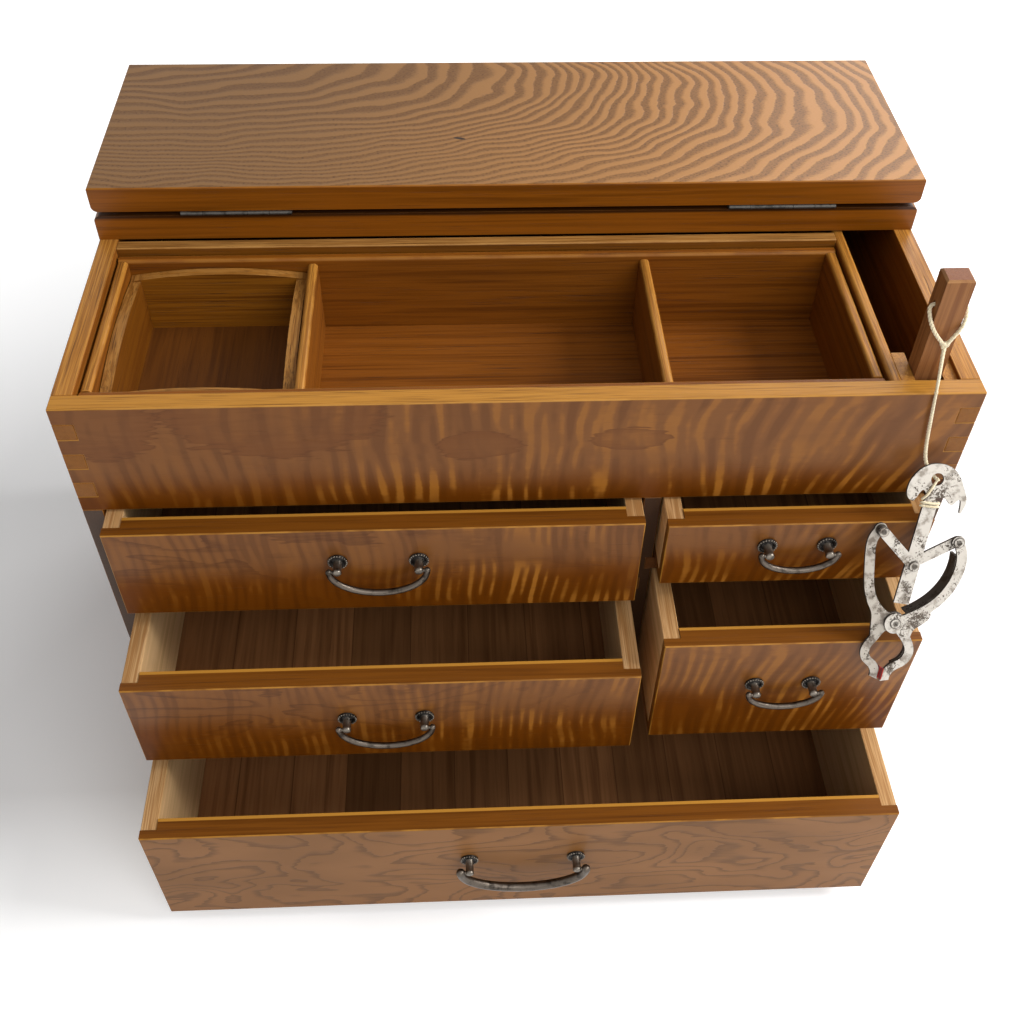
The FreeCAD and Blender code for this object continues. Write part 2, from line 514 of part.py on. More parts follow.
class Drawer:
    """One drawer: where its front is, how far it is pulled out and the size of its handle."""

    def __init__(self, name, x0, x1, shelf_top, height, pull_out, share, centres, drop, rod, reach):
        self.name = name
        self.x0 = x0
        self.x1 = x1
        self.shelf_top = shelf_top
        self.z0 = shelf_top + DRAWER_GAP
        self.z1 = self.z0 + height
        self.face_y = FRONT_Y - pull_out
        self.handle_x = (x0 + x1) / 2
        self.handle_z = self.z0 + share * height
        self.half_centres = centres / 2
        self.drop = drop
        self.rod = rod
        self.reach = reach

    def post_places(self):
        """Middles of the two handle posts along X."""
        return [self.handle_x - self.half_centres, self.handle_x + self.half_centres]

    def make_box(self):
        """Front, sides, back and bottom."""
        front_back = self.face_y + FRONT_BOARD
        lap_y = front_back - FRONT_LAP
        rear = self.face_y + CASE_DEPTH - BACK_BOARD - DRAWER_REAR_GAP
        floor = self.shelf_top + RUNNER_GAP
        base = floor + DRAWER_BOTTOM
        side_top = self.z1 - DRAWER_SIDE_DROP
        inner_x0 = self.x0 + DRAWER_SIDE
        inner_x1 = self.x1 - DRAWER_SIDE

        front = block(self.x0, self.x1, self.face_y, front_back, self.z0, self.z1)
        front = rounded(front, EASED_EDGE, lambda p: near(p.y, self.face_y))
        for a, b in ((self.x0, inner_x0), (inner_x1, self.x1)):
            front = front.cut(block(a, b, lap_y, front_back, base, self.z1))
        for x in self.post_places():
            face = Vector(x, self.face_y, self.handle_z)
            bore = Part.makeCylinder(SHANK_RADIUS + SCREW_FIT, FRONT_BOARD, face, Vector(0, 1, 0))
            front = front.cut(bore)
        sides = [block(self.x0, inner_x0, lap_y, rear, base, side_top),
                 block(inner_x1, self.x1, lap_y, rear, base, side_top)]
        back = block(inner_x0, inner_x1, rear - DRAWER_BACK, rear, base, self.z1 - DRAWER_BACK_DROP)
        export(self.name + "_front", front)
        export(self.name + "_box", *sides, back)
        export(self.name + "_bottom", block(self.x0, self.x1, front_back, rear, floor, base))

    def handle_mount(self, x):
        """Fluted rosette with its post, pierced knob and shank, and the nut inside the drawer."""
        out = Vector(0, -1, 0)
        face = Vector(x, self.face_y, self.handle_z)
        mount = Part.makeCylinder(ROSETTE_RADIUS, ROSETTE_THICKNESS, face, out)
        mount = rounded(mount, ROSETTE_THICKNESS / 2, lambda p: near(p.y, self.face_y - ROSETTE_THICKNESS))
        flutes = []
        for i in range(ROSETTE_FLUTES):
            angle = 2 * math.pi * i / ROSETTE_FLUTES
            offset = Vector(math.cos(angle), 0, math.sin(angle)) * ROSETTE_RADIUS
            flutes.append(Part.makeCylinder(FLUTE_RADIUS, ROSETTE_THICKNESS, face + offset, out))
        mount = mount.cut(Part.makeCompound(flutes))
        knob = face + out * self.reach
        mount = mount.fuse(Part.makeCylinder(HANDLE_POST_RADIUS, self.reach, face, out))
        mount = mount.fuse(Part.makeSphere(HANDLE_KNOB_RADIUS, knob))
        shank_length = FRONT_BOARD + NUT_THICKNESS
        mount = mount.fuse(Part.makeCylinder(SHANK_RADIUS, shank_length, face, Vector(0, 1, 0)))
        half = HANDLE_KNOB_RADIUS
        mount = mount.cut(rod_x(x - half, x + half, knob.y, knob.z, TRUNNION_RADIUS + RUNNING_FIT))
        seat = face + Vector(0, FRONT_BOARD, 0)
        nut = Part.makeCylinder(NUT_RADIUS, NUT_THICKNESS, seat, Vector(0, 1, 0))
        nut = nut.cut(Part.makeCylinder(SHANK_RADIUS + SCREW_FIT, NUT_THICKNESS, seat, Vector(0, 1, 0)))
        return [mount, nut]

    def handle_bail(self):
        """Drop handle: a three-centred bow whose two trunnions turn in the posts' knobs."""
        y = self.face_y - self.reach
        z = self.handle_z
        half = self.half_centres + HANDLE_KNOB_RADIUS + HANDLE_SIDE_GAP + self.rod
        corner = HANDLE_CORNER_SHARE * self.drop
        bottom = (half * half + self.drop * self.drop - 2 * half * corner) / (2 * (self.drop - corner))
        turn = math.degrees(math.atan2(half - corner, bottom - self.drop))
        axis = Vector(0, 1, 0)
        middle_x = self.handle_x

        def bow(centre, radius, start, sweep):
            """Round rod bent about a centre from an angle below the X axis, through a sweep."""
            a = math.radians(start)
            along = Vector(math.cos(a), 0, -math.sin(a))
            tangent = Vector(-math.sin(a), 0, -math.cos(a))
            ring = Part.makeCircle(self.rod, centre + along * radius, tangent)
            return Part.Face(Part.Wire(ring)).revolve(centre, axis, sweep)

        right = Vector(middle_x + half - corner, y, z)
        left = Vector(middle_x - half + corner, y, z)
        below = Vector(middle_x, y, z - self.drop + bottom)
        bail = bow(right, corner, 0, 90 - turn)
        bail = bail.fuse(bow(below, bottom, 90 - turn, 2 * turn))
        bail = bail.fuse(bow(left, corner, 90 + turn, 90 - turn))
        for side in (-1, 1):
            end = Vector(middle_x + side * half, y, z)
            inner = middle_x + side * (self.half_centres - HANDLE_KNOB_RADIUS)
            trunnion = rod_x(min(inner, end.x), max(inner, end.x), y, z, TRUNNION_RADIUS)
            bail = bail.fuse(Part.makeSphere(self.rod, end)).fuse(trunnion)
        return bail.removeSplitter()

    def make_handle(self):
        """Handle of the drawer."""
        mounts = [piece for x in self.post_places() for piece in self.handle_mount(x)]
        export(self.name + "_handle_posts", *mounts)
        export(self.name + "_handle", self.handle_bail())


LEFT_X0 = -INNER_X + DRAWER_GAP
LEFT_X1 = LEFT_X0 + LEFT_FRONT_WIDTH
RIGHT_X0 = RIGHT_BAY_X + DRAWER_GAP
RIGHT_X1 = INNER_X - DRAWER_GAP
LEFT_HANDLE = (LEFT_HANDLE_CENTRES, LEFT_HANDLE_DROP, SMALL_ROD_RADIUS, SMALL_POST_REACH)
RIGHT_HANDLE = (RIGHT_HANDLE_CENTRES, RIGHT_HANDLE_DROP, SMALL_ROD_RADIUS, SMALL_POST_REACH)
BOTTOM_HANDLE = (BOTTOM_HANDLE_CENTRES, BOTTOM_HANDLE_DROP, LARGE_ROD_RADIUS, LARGE_POST_REACH)
DRAWERS = [
    Drawer("top_left_drawer", LEFT_X0, LEFT_X1, LEFT_SHELF_TOP, TOP_LEFT_HEIGHT, TOP_LEFT_PULL_OUT,
           TOP_LEFT_HANDLE_SHARE, *LEFT_HANDLE),
    Drawer("top_right_drawer", RIGHT_X0, RIGHT_X1, RIGHT_SHELF_TOP, TOP_RIGHT_HEIGHT, TOP_RIGHT_PULL_OUT,
           TOP_RIGHT_HANDLE_SHARE, *RIGHT_HANDLE),
    Drawer("middle_left_drawer", LEFT_X0, LEFT_X1, LOWER_SHELF_TOP, MIDDLE_LEFT_HEIGHT, MIDDLE_LEFT_PULL_OUT,
           MIDDLE_LEFT_HANDLE_SHARE, *LEFT_HANDLE),
    Drawer("middle_right_drawer", RIGHT_X0, RIGHT_X1, LOWER_SHELF_TOP, MIDDLE_RIGHT_HEIGHT,
           MIDDLE_RIGHT_PULL_OUT, MIDDLE_RIGHT_HANDLE_SHARE, *RIGHT_HANDLE),
    Drawer("bottom_drawer", LEFT_X0, RIGHT_X1, BOTTOM_BOARD, BOTTOM_FRONT_HEIGHT, BOTTOM_PULL_OUT,
           BOTTOM_HANDLE_SHARE, *BOTTOM_HANDLE),
]


def make_post():
    """Folding post, the two cheeks that carry it and its pin."""
    half_x = POST_WIDTH / 2
    half_y = POST_THICKNESS / 2
    post = block(POST_X - half_x, POST_X + half_x, POST_Y - half_y, POST_Y + half_y, POST_PIVOT_Z, POST_TOP)
    top_edges = [e for e in post.Edges if all(near(v.Z, POST_TOP) for v in e.Vertexes)]
    post = post.makeChamfer(POST_CHAMFER, top_edges)
    post = post.fuse(rod_x(POST_X - half_x, POST_X + half_x, POST_Y, POST_PIVOT_Z, half_y)).removeSplitter()
    pin_bore = POST_PIN_RADIUS + RUNNING_FIT
    post = post.cut(rod_x(POST_X - half_x, POST_X + half_x, POST_Y, POST_PIVOT_Z, pin_bore))
    hole_z = POST_TOP - CORD_HOLE_DROP
    post = post.cut(rod_x(POST_X - half_x, POST_X + half_x, POST_Y, hole_z, CORD_HOLE_RADIUS))
    export("post", post)

    cheek_top = CASE_TOP - CHEEK_DROP
    pin_hole = rod_x(SLOT_X, INNER_X, POST_Y, POST_PIVOT_Z, pin_bore)
    cheeks = []
    for x0, x1 in ((SLOT_X, POST_X - half_x - POST_SIDE_GAP), (POST_X + half_x + POST_SIDE_GAP, INNER_X)):
        cheek = block(x0, x1, PANEL_BACK_Y, PANEL_BACK_Y + CHEEK_DEPTH, UPPER_FLOOR_TOP, cheek_top)
        cheeks.append(cheek.cut(pin_hole))
    export("post_cheeks", *cheeks)
    export("post_pivot_pin", rod_x(SLOT_X, INNER_X, POST_Y, POST_PIVOT_Z, POST_PIN_RADIUS))


def cord_path(points):
    """Straight runs joined by tangent arcs, each as large as its two runs allow, and the arcs' radii."""
    route = [Vector(*p) for p in points]
    edges = []
    radii = []
    last = route[0]
    for before, corner, after in zip(route, route[1:], route[2:]):
        back = (before - corner).normalize()
        ahead = (after - corner).normalize()
        half_turn = (math.pi - back.getAngle(ahead)) / 2
        reach = CORD_ARC_SHARE * min((before - corner).Length, (after - corner).Length)
        radius = reach / math.tan(half_turn)
        start = corner + back * reach
        end = corner + ahead * reach
        bisector = (back + ahead).normalize()
        middle = corner + bisector * (radius / math.cos(half_turn) - radius)
        edges.append(Part.LineSegment(last, start).toShape())
        edges.append(Part.Arc(start, middle, end).toShape())
        radii.append(radius)
        last = end
    edges.append(Part.LineSegment(last, route[-1]).toShape())
    return Part.Wire(edges), radii


def cord_tube(name, points):
    """Tube of the cord's thickness along a route."""
    path, radii = cord_path(points)
    start = Vector(*points[0])
    ring = Part.Wire(Part.makeCircle(CORD_RADIUS, start, Vector(*points[1]) - start))
    tube = path.makePipeShell([ring], True, False)
    share = tube.Volume / (math.pi * CORD_RADIUS ** 2 * path.Length)
    print(name, "length", round(path.Length, 1), "volume share", round(share, 4),
          "radii", [round(r, 1) for r in radii])
    return tube


def shortened(points, first, last):
    """Route with its first and last runs cut back by given lengths."""
    route = [Vector(*p) for p in points]
    route[0] = route[0] + (route[1] - route[0]).normalize() * first
    route[-1] = route[-1] + (route[-2] - route[-1]).normalize() * last
    return [tuple(p) for p in route]


def make_cord():
    """Cord in two stretches that part at the front panel's edge."""
    knot = Part.makeSphere(KNOT_RADIUS, Vector(*KNOT_PLACE))
    loop = cord_tube("cord loop", LOOP_ROUTE)
    run = cord_tube("cord over the edge", shortened(EDGE_ROUTE, 0.0, CORD_BREAK))
    export("cord_upper", knot.fuse([loop, run]))
    export("cord_lower", cord_tube("hanging cord", shortened(HANG_ROUTE, CORD_BREAK, 0.0)))


def drawer_named(name):
    """The drawer of a given name."""
    return next(d for d in DRAWERS if d.name == name)


def clamp_frame():
    """Pivot, right, up and front directions of the clamp as it leans on the right-hand drawers."""
    upper = drawer_named("top_right_drawer")
    lower = drawer_named("middle_right_drawer")
    lean = math.atan2(upper.face_y - lower.face_y, upper.z1 - lower.z1)
    front = Vector(0, -math.cos(lean), math.sin(lean))
    down = Vector(0, -math.sin(lean), -math.cos(lean))
    roll = math.radians(CLAMP_ROLL)
    up = down * -math.cos(roll) + Vector(1, 0, 0) * math.sin(roll)
    right = up.cross(front)
    pivot = Vector(CLAMP_X, upper.face_y, upper.z1) + down * CLAMP_REACH
    return pivot, right, up, front


def in_place(shape):
    """Shape drawn in the clamp's plane (X right, Y up, Z front) put where the clamp hangs."""
    pivot, right, up, front = clamp_frame()
    frame = FreeCAD.Matrix(right.x, up.x, front.x, pivot.x, right.y, up.y, front.y, pivot.y,
                           right.z, up.z, front.z, pivot.z, 0, 0, 0, 1)
    placed = shape.copy()
    placed.Placement = FreeCAD.Placement(frame)
    return placed


def layer(index):
    """Back of a layer of plates, counted from the drawers outwards."""
    return CLAMP_STANDOFF + index * (CLAMP_PLATE + CLAMP_LAYER_GAP)


def disc(u, v, radius, n0, n1):
    """Round plate or pin square to the clamp's plane."""
    return Part.makeCylinder(radius, n1 - n0, Vector(u, v, n0), Vector(0, 0, 1))


def band(points, offset_a, offset_b, n0, n1):
    """Curved strip between two offsets to the right of a smooth line through points."""
    line = Part.BSplineCurve()
    line.interpolate([Vector(u, v, 0) for u, v in points])
    samples = [line.parameter(Vector(u, v, 0)) for u, v in points]

    def side(offset):
        """Smooth line beside the middle line."""
        beside = []
        for t in samples:
            tangent = line.tangent(t)[0]
            beside.append(line.value(t) + Vector(tangent.y, -tangent.x, 0) * offset)
        curve = Part.BSplineCurve()
        curve.interpolate([Vector(p.x, p.y, n0) for p in beside])
        return curve.toShape()

    a = side(offset_a)
    b = side(offset_b)
    ends = [Part.makeLine(a.Vertexes[i].Point, b.Vertexes[i].Point) for i in (0, 1)]
    outline = Part.Wire([a, ends[1], b, ends[0]])
    return Part.Face(outline).extrude(Vector(0, 0, n1 - n0))


def plate(outline, n0, n1):
    """Flat plate with a smooth closed outline."""
    line = Part.BSplineCurve()
    line.interpolate([Vector(u, v, n0) for u, v in outline], PeriodicFlag=True)
    return Part.Face(Part.Wire(line.toShape())).extrude(Vector(0, 0, n1 - n0))


def clamp_arm(side, index):
    """One arm, plate and eyes only: side is 1 on the right, -1 on the left."""
    n0 = layer(index)
    n1 = n0 + CLAMP_PLATE
    arm_curve = ARM_CURVE if side > 0 else LEFT_ARM_CURVE
    jaw_curve = JAW_CURVE if side > 0 else LEFT_JAW_CURVE
    web = RIGHT_WEB if side > 0 else LEFT_WEB
    arm = disc(0, 0, BOSS_RADIUS, n0, n1).fuse(plate(web, n0, n1))
    arm = arm.fuse(band(arm_curve, -ARM_WIDTH / 2, ARM_WIDTH / 2, n0, n1))
    arm = arm.fuse(band(jaw_curve, -JAW_WIDTH / 2, JAW_WIDTH / 2, n0, n1))
    arm = arm.fuse(disc(side * ARM_PIN_U, ARM_PIN_V, ARM_EYE_RADIUS, n0, n1))
    inner = jaw_curve[-1][0] - side * JAW_WIDTH / 2
    mouth = side * JAW_GAP / 2
    beyond = Part.makeBox(abs(mouth - inner) + JAW_WIDTH, JAW_WIDTH * 2, CLAMP_PLATE,
                          Vector(mouth if side < 0 else mouth - abs(mouth - inner) - JAW_WIDTH,
                                 jaw_curve[-1][1] - JAW_WIDTH / 2, n0))
    arm = arm.cut(beyond)
    return arm.cut(disc(0, 0, CLAMP_PIN_RADIUS + RUNNING_FIT, n0, n1))


def rivet(u, v, n0, n1, back_head, front_head):
    """Rivet through plates between two levels, with a head at either end where asked."""
    pin = disc(u, v, CLAMP_PIN_RADIUS, n0, n1)
    if back_head:
        pin = pin.fuse(disc(u, v, RIVET_HEAD_RADIUS, n0 - RIVET_HEAD, n0))
    if front_head:
        pin = pin.fuse(disc(u, v, RIVET_HEAD_RADIUS, n1, n1 + RIVET_HEAD))
    return pin


def clamp_link(side, index):
    """Short link from the rivet on the bar to the top of one arm."""
    n0 = layer(index)
    n1 = n0 + CLAMP_PLATE
    start = Vector(0, RIVET_V, n0)
    end = Vector(side * ARM_PIN_U, ARM_PIN_V, n0)
    along = end - start
    across = Vector(-along.y, along.x, 0).normalize() * (LINK_WIDTH / 2)
    corners = [start + across, end + across, end - across, start - across, start + across]
    link = Part.Face(Part.makePolygon(corners)).extrude(Vector(0, 0, CLAMP_PLATE))
    link = link.fuse(disc(start.x, start.y, LINK_WIDTH / 2, n0, n1))
    link = link.fuse(disc(end.x, end.y, LINK_WIDTH / 2, n0, n1))
    link = link.cut(disc(start.x, start.y, CLAMP_PIN_RADIUS + RUNNING_FIT, n0, n1))
    return link.cut(disc(end.x, end.y, CLAMP_PIN_RADIUS + LINK_PLAY, n0, n1)).removeSplitter()


def clamp_bar(index):
    """Bar with its pierced, two-beaked head and the rivet that carries the links."""
    n0 = layer(index)
    n1 = n0 + CLAMP_PLATE
    head = plate(HEAD_OUTLINE, n0, n1)
    top = BAR_TOP_WIDTH / 2
    foot = BAR_FOOT_WIDTH / 2
    corners = [(-top, BAR_NECK_V), (top, BAR_NECK_V), (foot, BAR_FOOT_V), (-foot, BAR_FOOT_V)]
    outline = Part.makePolygon([Vector(u, v, n0) for u, v in corners + corners[:1]])
    bar = Part.Face(outline).extrude(Vector(0, 0, CLAMP_PLATE))
    bar = bar.fuse(head).cut(disc(0, HEAD_HOLE_V, HEAD_HOLE_RADIUS, n0, n1))
    stud = rivet(0, RIVET_V, layer(0), layer(2) + CLAMP_PLATE + CLAMP_LAYER_GAP, True, True)
    return bar.fuse(stud).removeSplitter()


def make_clamp():
    """Self-tightening cloth clamp on the end of the cord. Layer 0 lies nearest the drawers."""
    left = clamp_arm(-1, 0)
    left_pin = rivet(-ARM_PIN_U, ARM_PIN_V, layer(0), layer(2) + CLAMP_PLATE + CLAMP_LAYER_GAP, False, True)
    collar_n0 = layer(0) + CLAMP_PLATE
    collar = disc(-ARM_PIN_U, ARM_PIN_V, RIVET_HEAD_RADIUS, collar_n0, layer(2) - CLAMP_LAYER_GAP)
    left = left.fuse(left_pin).fuse(collar).removeSplitter()
    right = clamp_arm(1, 1)
    right_pin = rivet(ARM_PIN_U, ARM_PIN_V, layer(0), layer(1) + CLAMP_PLATE, False, True)
    flanges = ((ARM_CURVE[1:-1], ARM_WIDTH, FLANGE_DEPTH), (JAW_CURVE[1:-2], JAW_WIDTH, JAW_FLANGE_DEPTH))
    for curve, width, depth in flanges:
        inner = width / 2
        right = right.fuse(band(curve, inner - FLANGE_THICKNESS, inner, layer(1) - depth, layer(1)))
    right = right.fuse(right_pin).removeSplitter()
    pivot = rivet(0, 0, layer(0), layer(1) + CLAMP_PLATE, True, True)
    export("clamp_bar", in_place(clamp_bar(1)))
    export("clamp_left_arm", in_place(left))
    export("clamp_right_arm", in_place(right))
    export("clamp_left_link", in_place(clamp_link(-1, 2)))
    export("clamp_right_link", in_place(clamp_link(1, 0)))
    export("clamp_pivot_rivet", in_place(pivot))


os.makedirs("parts", exist_ok=True)
make_case()
make_top()
make_tray()
make_pin_box()
for drawer in DRAWERS:
    drawer.make_box()
    drawer.make_handle()
make_post()
make_cord()
make_clamp()
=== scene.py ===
"""Looks of a small sewing cabinet: five drawers, a folding lid, a lift-out tray and a clamp on a cord."""
import json
import logging
import math
from dataclasses import dataclass, replace
from enum import Enum
from typing import Optional, Sequence, Union

import bpy
from mathutils import Matrix, Vector

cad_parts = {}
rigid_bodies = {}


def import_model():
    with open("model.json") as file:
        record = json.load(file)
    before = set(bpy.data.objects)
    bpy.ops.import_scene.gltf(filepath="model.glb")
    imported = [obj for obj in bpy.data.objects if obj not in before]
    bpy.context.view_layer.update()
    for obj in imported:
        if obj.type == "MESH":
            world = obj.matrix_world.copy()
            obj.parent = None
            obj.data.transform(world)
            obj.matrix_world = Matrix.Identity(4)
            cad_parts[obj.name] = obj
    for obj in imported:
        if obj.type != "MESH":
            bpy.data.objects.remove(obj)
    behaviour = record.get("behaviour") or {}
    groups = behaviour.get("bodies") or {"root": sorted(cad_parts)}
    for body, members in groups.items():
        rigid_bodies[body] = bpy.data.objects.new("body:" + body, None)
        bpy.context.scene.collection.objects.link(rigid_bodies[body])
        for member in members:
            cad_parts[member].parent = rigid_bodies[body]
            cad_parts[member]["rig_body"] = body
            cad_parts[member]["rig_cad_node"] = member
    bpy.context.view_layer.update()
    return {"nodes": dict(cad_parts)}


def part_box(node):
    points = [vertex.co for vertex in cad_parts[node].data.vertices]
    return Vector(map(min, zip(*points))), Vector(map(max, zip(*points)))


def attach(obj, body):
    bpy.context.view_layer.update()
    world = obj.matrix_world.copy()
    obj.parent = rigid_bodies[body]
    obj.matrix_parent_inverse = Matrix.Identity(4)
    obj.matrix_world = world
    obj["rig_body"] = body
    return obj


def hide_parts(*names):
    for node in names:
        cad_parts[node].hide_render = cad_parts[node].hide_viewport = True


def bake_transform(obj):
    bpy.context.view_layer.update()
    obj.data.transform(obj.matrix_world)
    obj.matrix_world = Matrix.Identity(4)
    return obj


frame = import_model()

LOG = logging.getLogger("cabinet")
MM = 0.001
Socket = bpy.types.NodeSocket
Value = Union[float, Socket]
Triple = tuple[float, float, float]
Object = bpy.types.Object
Material = bpy.types.Material
Tree = bpy.types.NodeTree


def paint(code: str) -> tuple[float, float, float, float]:
    """Colour of a finish from its hexadecimal code.

    Args:
        code: Six digits, red, green and blue as a screen shows them.

    Returns:
        The colour as light adds up, with full cover.
    """
    shown = [int(code[i:i + 2], 16) / 255 for i in (0, 2, 4)]
    red, green, blue = (s / 12.92 if s <= 0.04045 else ((s + 0.055) / 1.055) ** 2.4 for s in shown)
    return red, green, blue, 1.0


def feed(tree: Tree, target: Socket, value: object) -> None:
    """Give a socket a number, a colour or another socket.

    Args:
        tree: The nodes that it belongs to.
        target: The socket that takes it.
        value: What it takes.
    """
    if isinstance(value, bpy.types.NodeSocket):
        tree.links.new(value, target)
    else:
        target.default_value = value


def made(tree: Tree, kind: str, inputs: dict[Union[int, str], object], **settings: object) -> bpy.types.Node:
    """New node of a finish or of the light.

    Args:
        tree: Where it goes.
        kind: Blender's name of the node.
        inputs: What its sockets take.
        settings: Its other settings.

    Returns:
        The node.
    """
    node = tree.nodes.new(kind)
    for name, setting in settings.items():
        setattr(node, name, setting)
    for key, value in inputs.items():
        feed(tree, node.inputs[key], value)
    return node


class Graph:
    """Nodes of one finish, in millimetres of the cabinet's own frame."""

    def __init__(self, name: str, gloss: Value = 0.18) -> None:
        """Start a finish.

        Args:
            name: Name of the material.
            gloss: How strongly it mirrors head-on.
        """
        self.gloss = gloss
        self.material = bpy.data.materials.new(name)
        self.material.use_nodes = True
        self.tree = self.material.node_tree
        self.shader = self.tree.nodes["Principled BSDF"]
        source = made(self.tree, "ShaderNodeTexCoord", {})
        self.facing = source.outputs["Normal"]
        self.place = self.mapped(source.outputs["Object"], scale=(1 / MM,) * 3)

    def mapped(self, vector: Socket, location: Triple = (0, 0, 0), turn: Triple = (0, 0, 0),
               scale: Triple = (1, 1, 1)) -> Socket:
        """Scaled, turned and shifted copy of a place.

        Args:
            vector: The place.
            location: Shift, made last.
            turn: Turn about the three axes, in radians.
            scale: Scale along the three axes, made first.

        Returns:
            The new place.
        """
        inputs = {"Vector": vector, "Location": location, "Rotation": turn, "Scale": scale}
        return made(self.tree, "ShaderNodeMapping", inputs).outputs["Vector"]

    def math(self, operation: str, a: Value, b: Value = 0.0) -> Socket:
        """Sum, product or other function of one or two numbers.

        Args:
            operation: Blender's name of the function.
            a: First number.
            b: Second number.

        Returns:
            The result.
        """
        return made(self.tree, "ShaderNodeMath", {0: a, 1: b}, operation=operation).outputs[0]

    def total(self, *parts: Value) -> Socket:
        """Sum of several numbers."""
        result = parts[0]
        for part in parts[1:]:
            result = self.math("ADD", result, part)
        return result

    def times(self, a: Value, b: Value) -> Socket:
        """Product of two numbers."""
        return self.math("MULTIPLY", a, b)

    def step(self, value: Value, low: float, high: float, bottom: float = 0.0, top: float = 1.0) -> Socket:
        """Smooth step of a number.

        Args:
            value: The number.
            low: Where the step starts.
            high: Where it ends.
            bottom: Result at its start.
            top: Result at its end.

        Returns:
            The stepped number.
        """
        inputs = dict(enumerate((value, low, high, bottom, top)))
        return made(self.tree, "ShaderNodeMapRange", inputs, interpolation_type="SMOOTHSTEP").outputs[0]

    def noise(self, place: Socket, scale: Triple, detail: float = 2.0, rough: float = 0.5,
              distortion: float = 0.0) -> Socket:
        """Cloudy noise stretched along the axes.

        Args:
            place: Where it is read.
            scale: Clouds per millimetre along each axis.
            detail: Finer layers.
            rough: Share of each finer layer.
            distortion: How far it swirls.

        Returns:
            A number around one half.
        """
        inputs = {"Vector": self.mapped(place, scale=scale), "Scale": 1.0, "Detail": detail,
                  "Roughness": rough, "Distortion": distortion}
        return made(self.tree, "ShaderNodeTexNoise", inputs).outputs[0]

    def ramp(self, value: Socket, *stops: tuple[float, str]) -> Socket:
        """Colours along a number.

        Args:
            value: The number.
            stops: Positions with their colours, in order.

        Returns:
            The colour.
        """
        node = made(self.tree, "ShaderNodeValToRGB", {0: value})
        elements = node.color_ramp.elements
        while len(elements) < len(stops):
            elements.new(0.5)
        for element, (position, code) in zip(elements, stops):
            element.position = position
            element.color = paint(code)
        return node.outputs[0]

    def mixed(self, share: Value, a: object, b: object) -> Socket:
        """Two colours mixed.

        Args:
            share: Share of the second, from 0 to 1.
            a: First colour, a socket or a code.
            b: Second colour, a socket or a code.

        Returns:
            The mixed colour.
        """
        first, second = (paint(colour) if isinstance(colour, str) else colour for colour in (a, b))
        return made(self.tree, "ShaderNodeMix", {0: share, 6: first, 7: second}, data_type="RGBA").outputs[2]

    def split(self, vector: Socket) -> tuple[Socket, ...]:
        """The three parts of a place or direction."""
        return tuple(made(self.tree, "ShaderNodeSeparateXYZ", {0: vector}).outputs)

    def joined(self, x: Value, y: Value, z: Value) -> Socket:
        """A place from its three parts."""
        return made(self.tree, "ShaderNodeCombineXYZ", {0: x, 1: y, 2: z}).outputs[0]

    def vector(self, operation: str, a: Socket, b: Sequence[float] = (0.0, 0.0, 0.0)) -> bpy.types.Node:
        """Node for a function of one or two places or directions.

        Args:
            operation: Blender's name of the function.
            a: First place or direction.
            b: Second one.

        Returns:
            The node.
        """
        return made(self.tree, "ShaderNodeVectorMath", {0: a, 1: b}, operation=operation)

    def along(self, direction: Triple) -> Socket:
        """How far the surface faces a direction, from -1 to 1."""
        return self.vector("DOT_PRODUCT", self.facing, direction).outputs["Value"]

    def off_line(self, point: Sequence[float], direction: Sequence[float]) -> Socket:
        """Distance from a straight line.

        Args:
            point: A point of the line, in millimetres.
            direction: Direction of the line, of length 1.

        Returns:
            The distance, in millimetres.
        """
        apart = self.vector("SUBTRACT", self.place, point).outputs[0]
        across = self.vector("CROSS_PRODUCT", apart, direction).outputs[0]
        return self.vector("LENGTH", across).outputs["Value"]

    def arris(self) -> Socket:
        """Mask of the eased edges, where the surface faces none of the axes."""
        x, y, z = self.split(self.vector("ABSOLUTE", self.facing).outputs[0])
        return self.step(self.math("MAXIMUM", self.math("MAXIMUM", x, y), z), 0.992, 0.93)

    def raised(self, height: Socket, depth: float) -> None:
        """Fine relief of the surface.

        Args:
            height: Height from 0 to 1.
            depth: Full height in millimetres.
        """
        node = made(self.tree, "ShaderNodeBump", {"Distance": depth * MM, "Height": height})
        feed(self.tree, self.shader.inputs["Normal"], node.outputs[0])

    def finished(self, colour: Socket, roughness: Value, metallic: Value = 0.0) -> Material:
        """Close the finish.

        Args:
            colour: Colour of the surface.
            roughness: How dull it is.
            metallic: Share of bare metal.

        Returns:
            The material.
        """
        for name, value in (("Base Color", colour), ("Roughness", roughness), ("Metallic", metallic),
                            ("Specular IOR Level", self.gloss)):
            feed(self.tree, self.shader.inputs[name], value)
        return self.material


class Run(Enum):
    """Way that a board's fibres run, as the turn that lays them along X."""

    ACROSS = (0.0, 0.0, 0.0)
    DEEP = (0.0, 0.0, -math.pi / 2)
    UPRIGHT = (0.0, math.pi / 2, 0.0)

    def direction(self) -> Triple:
        """Direction of the fibres."""
        return {"ACROSS": (1.0, 0.0, 0.0), "DEEP": (0.0, 1.0, 0.0), "UPRIGHT": (0.0, 0.0, 1.0)}[self.name]


class Figure(Enum):
    """Figure of a show face."""

    CURL = "curl"
    CONTOUR = "contour"
    CATHEDRAL = "cathedral"


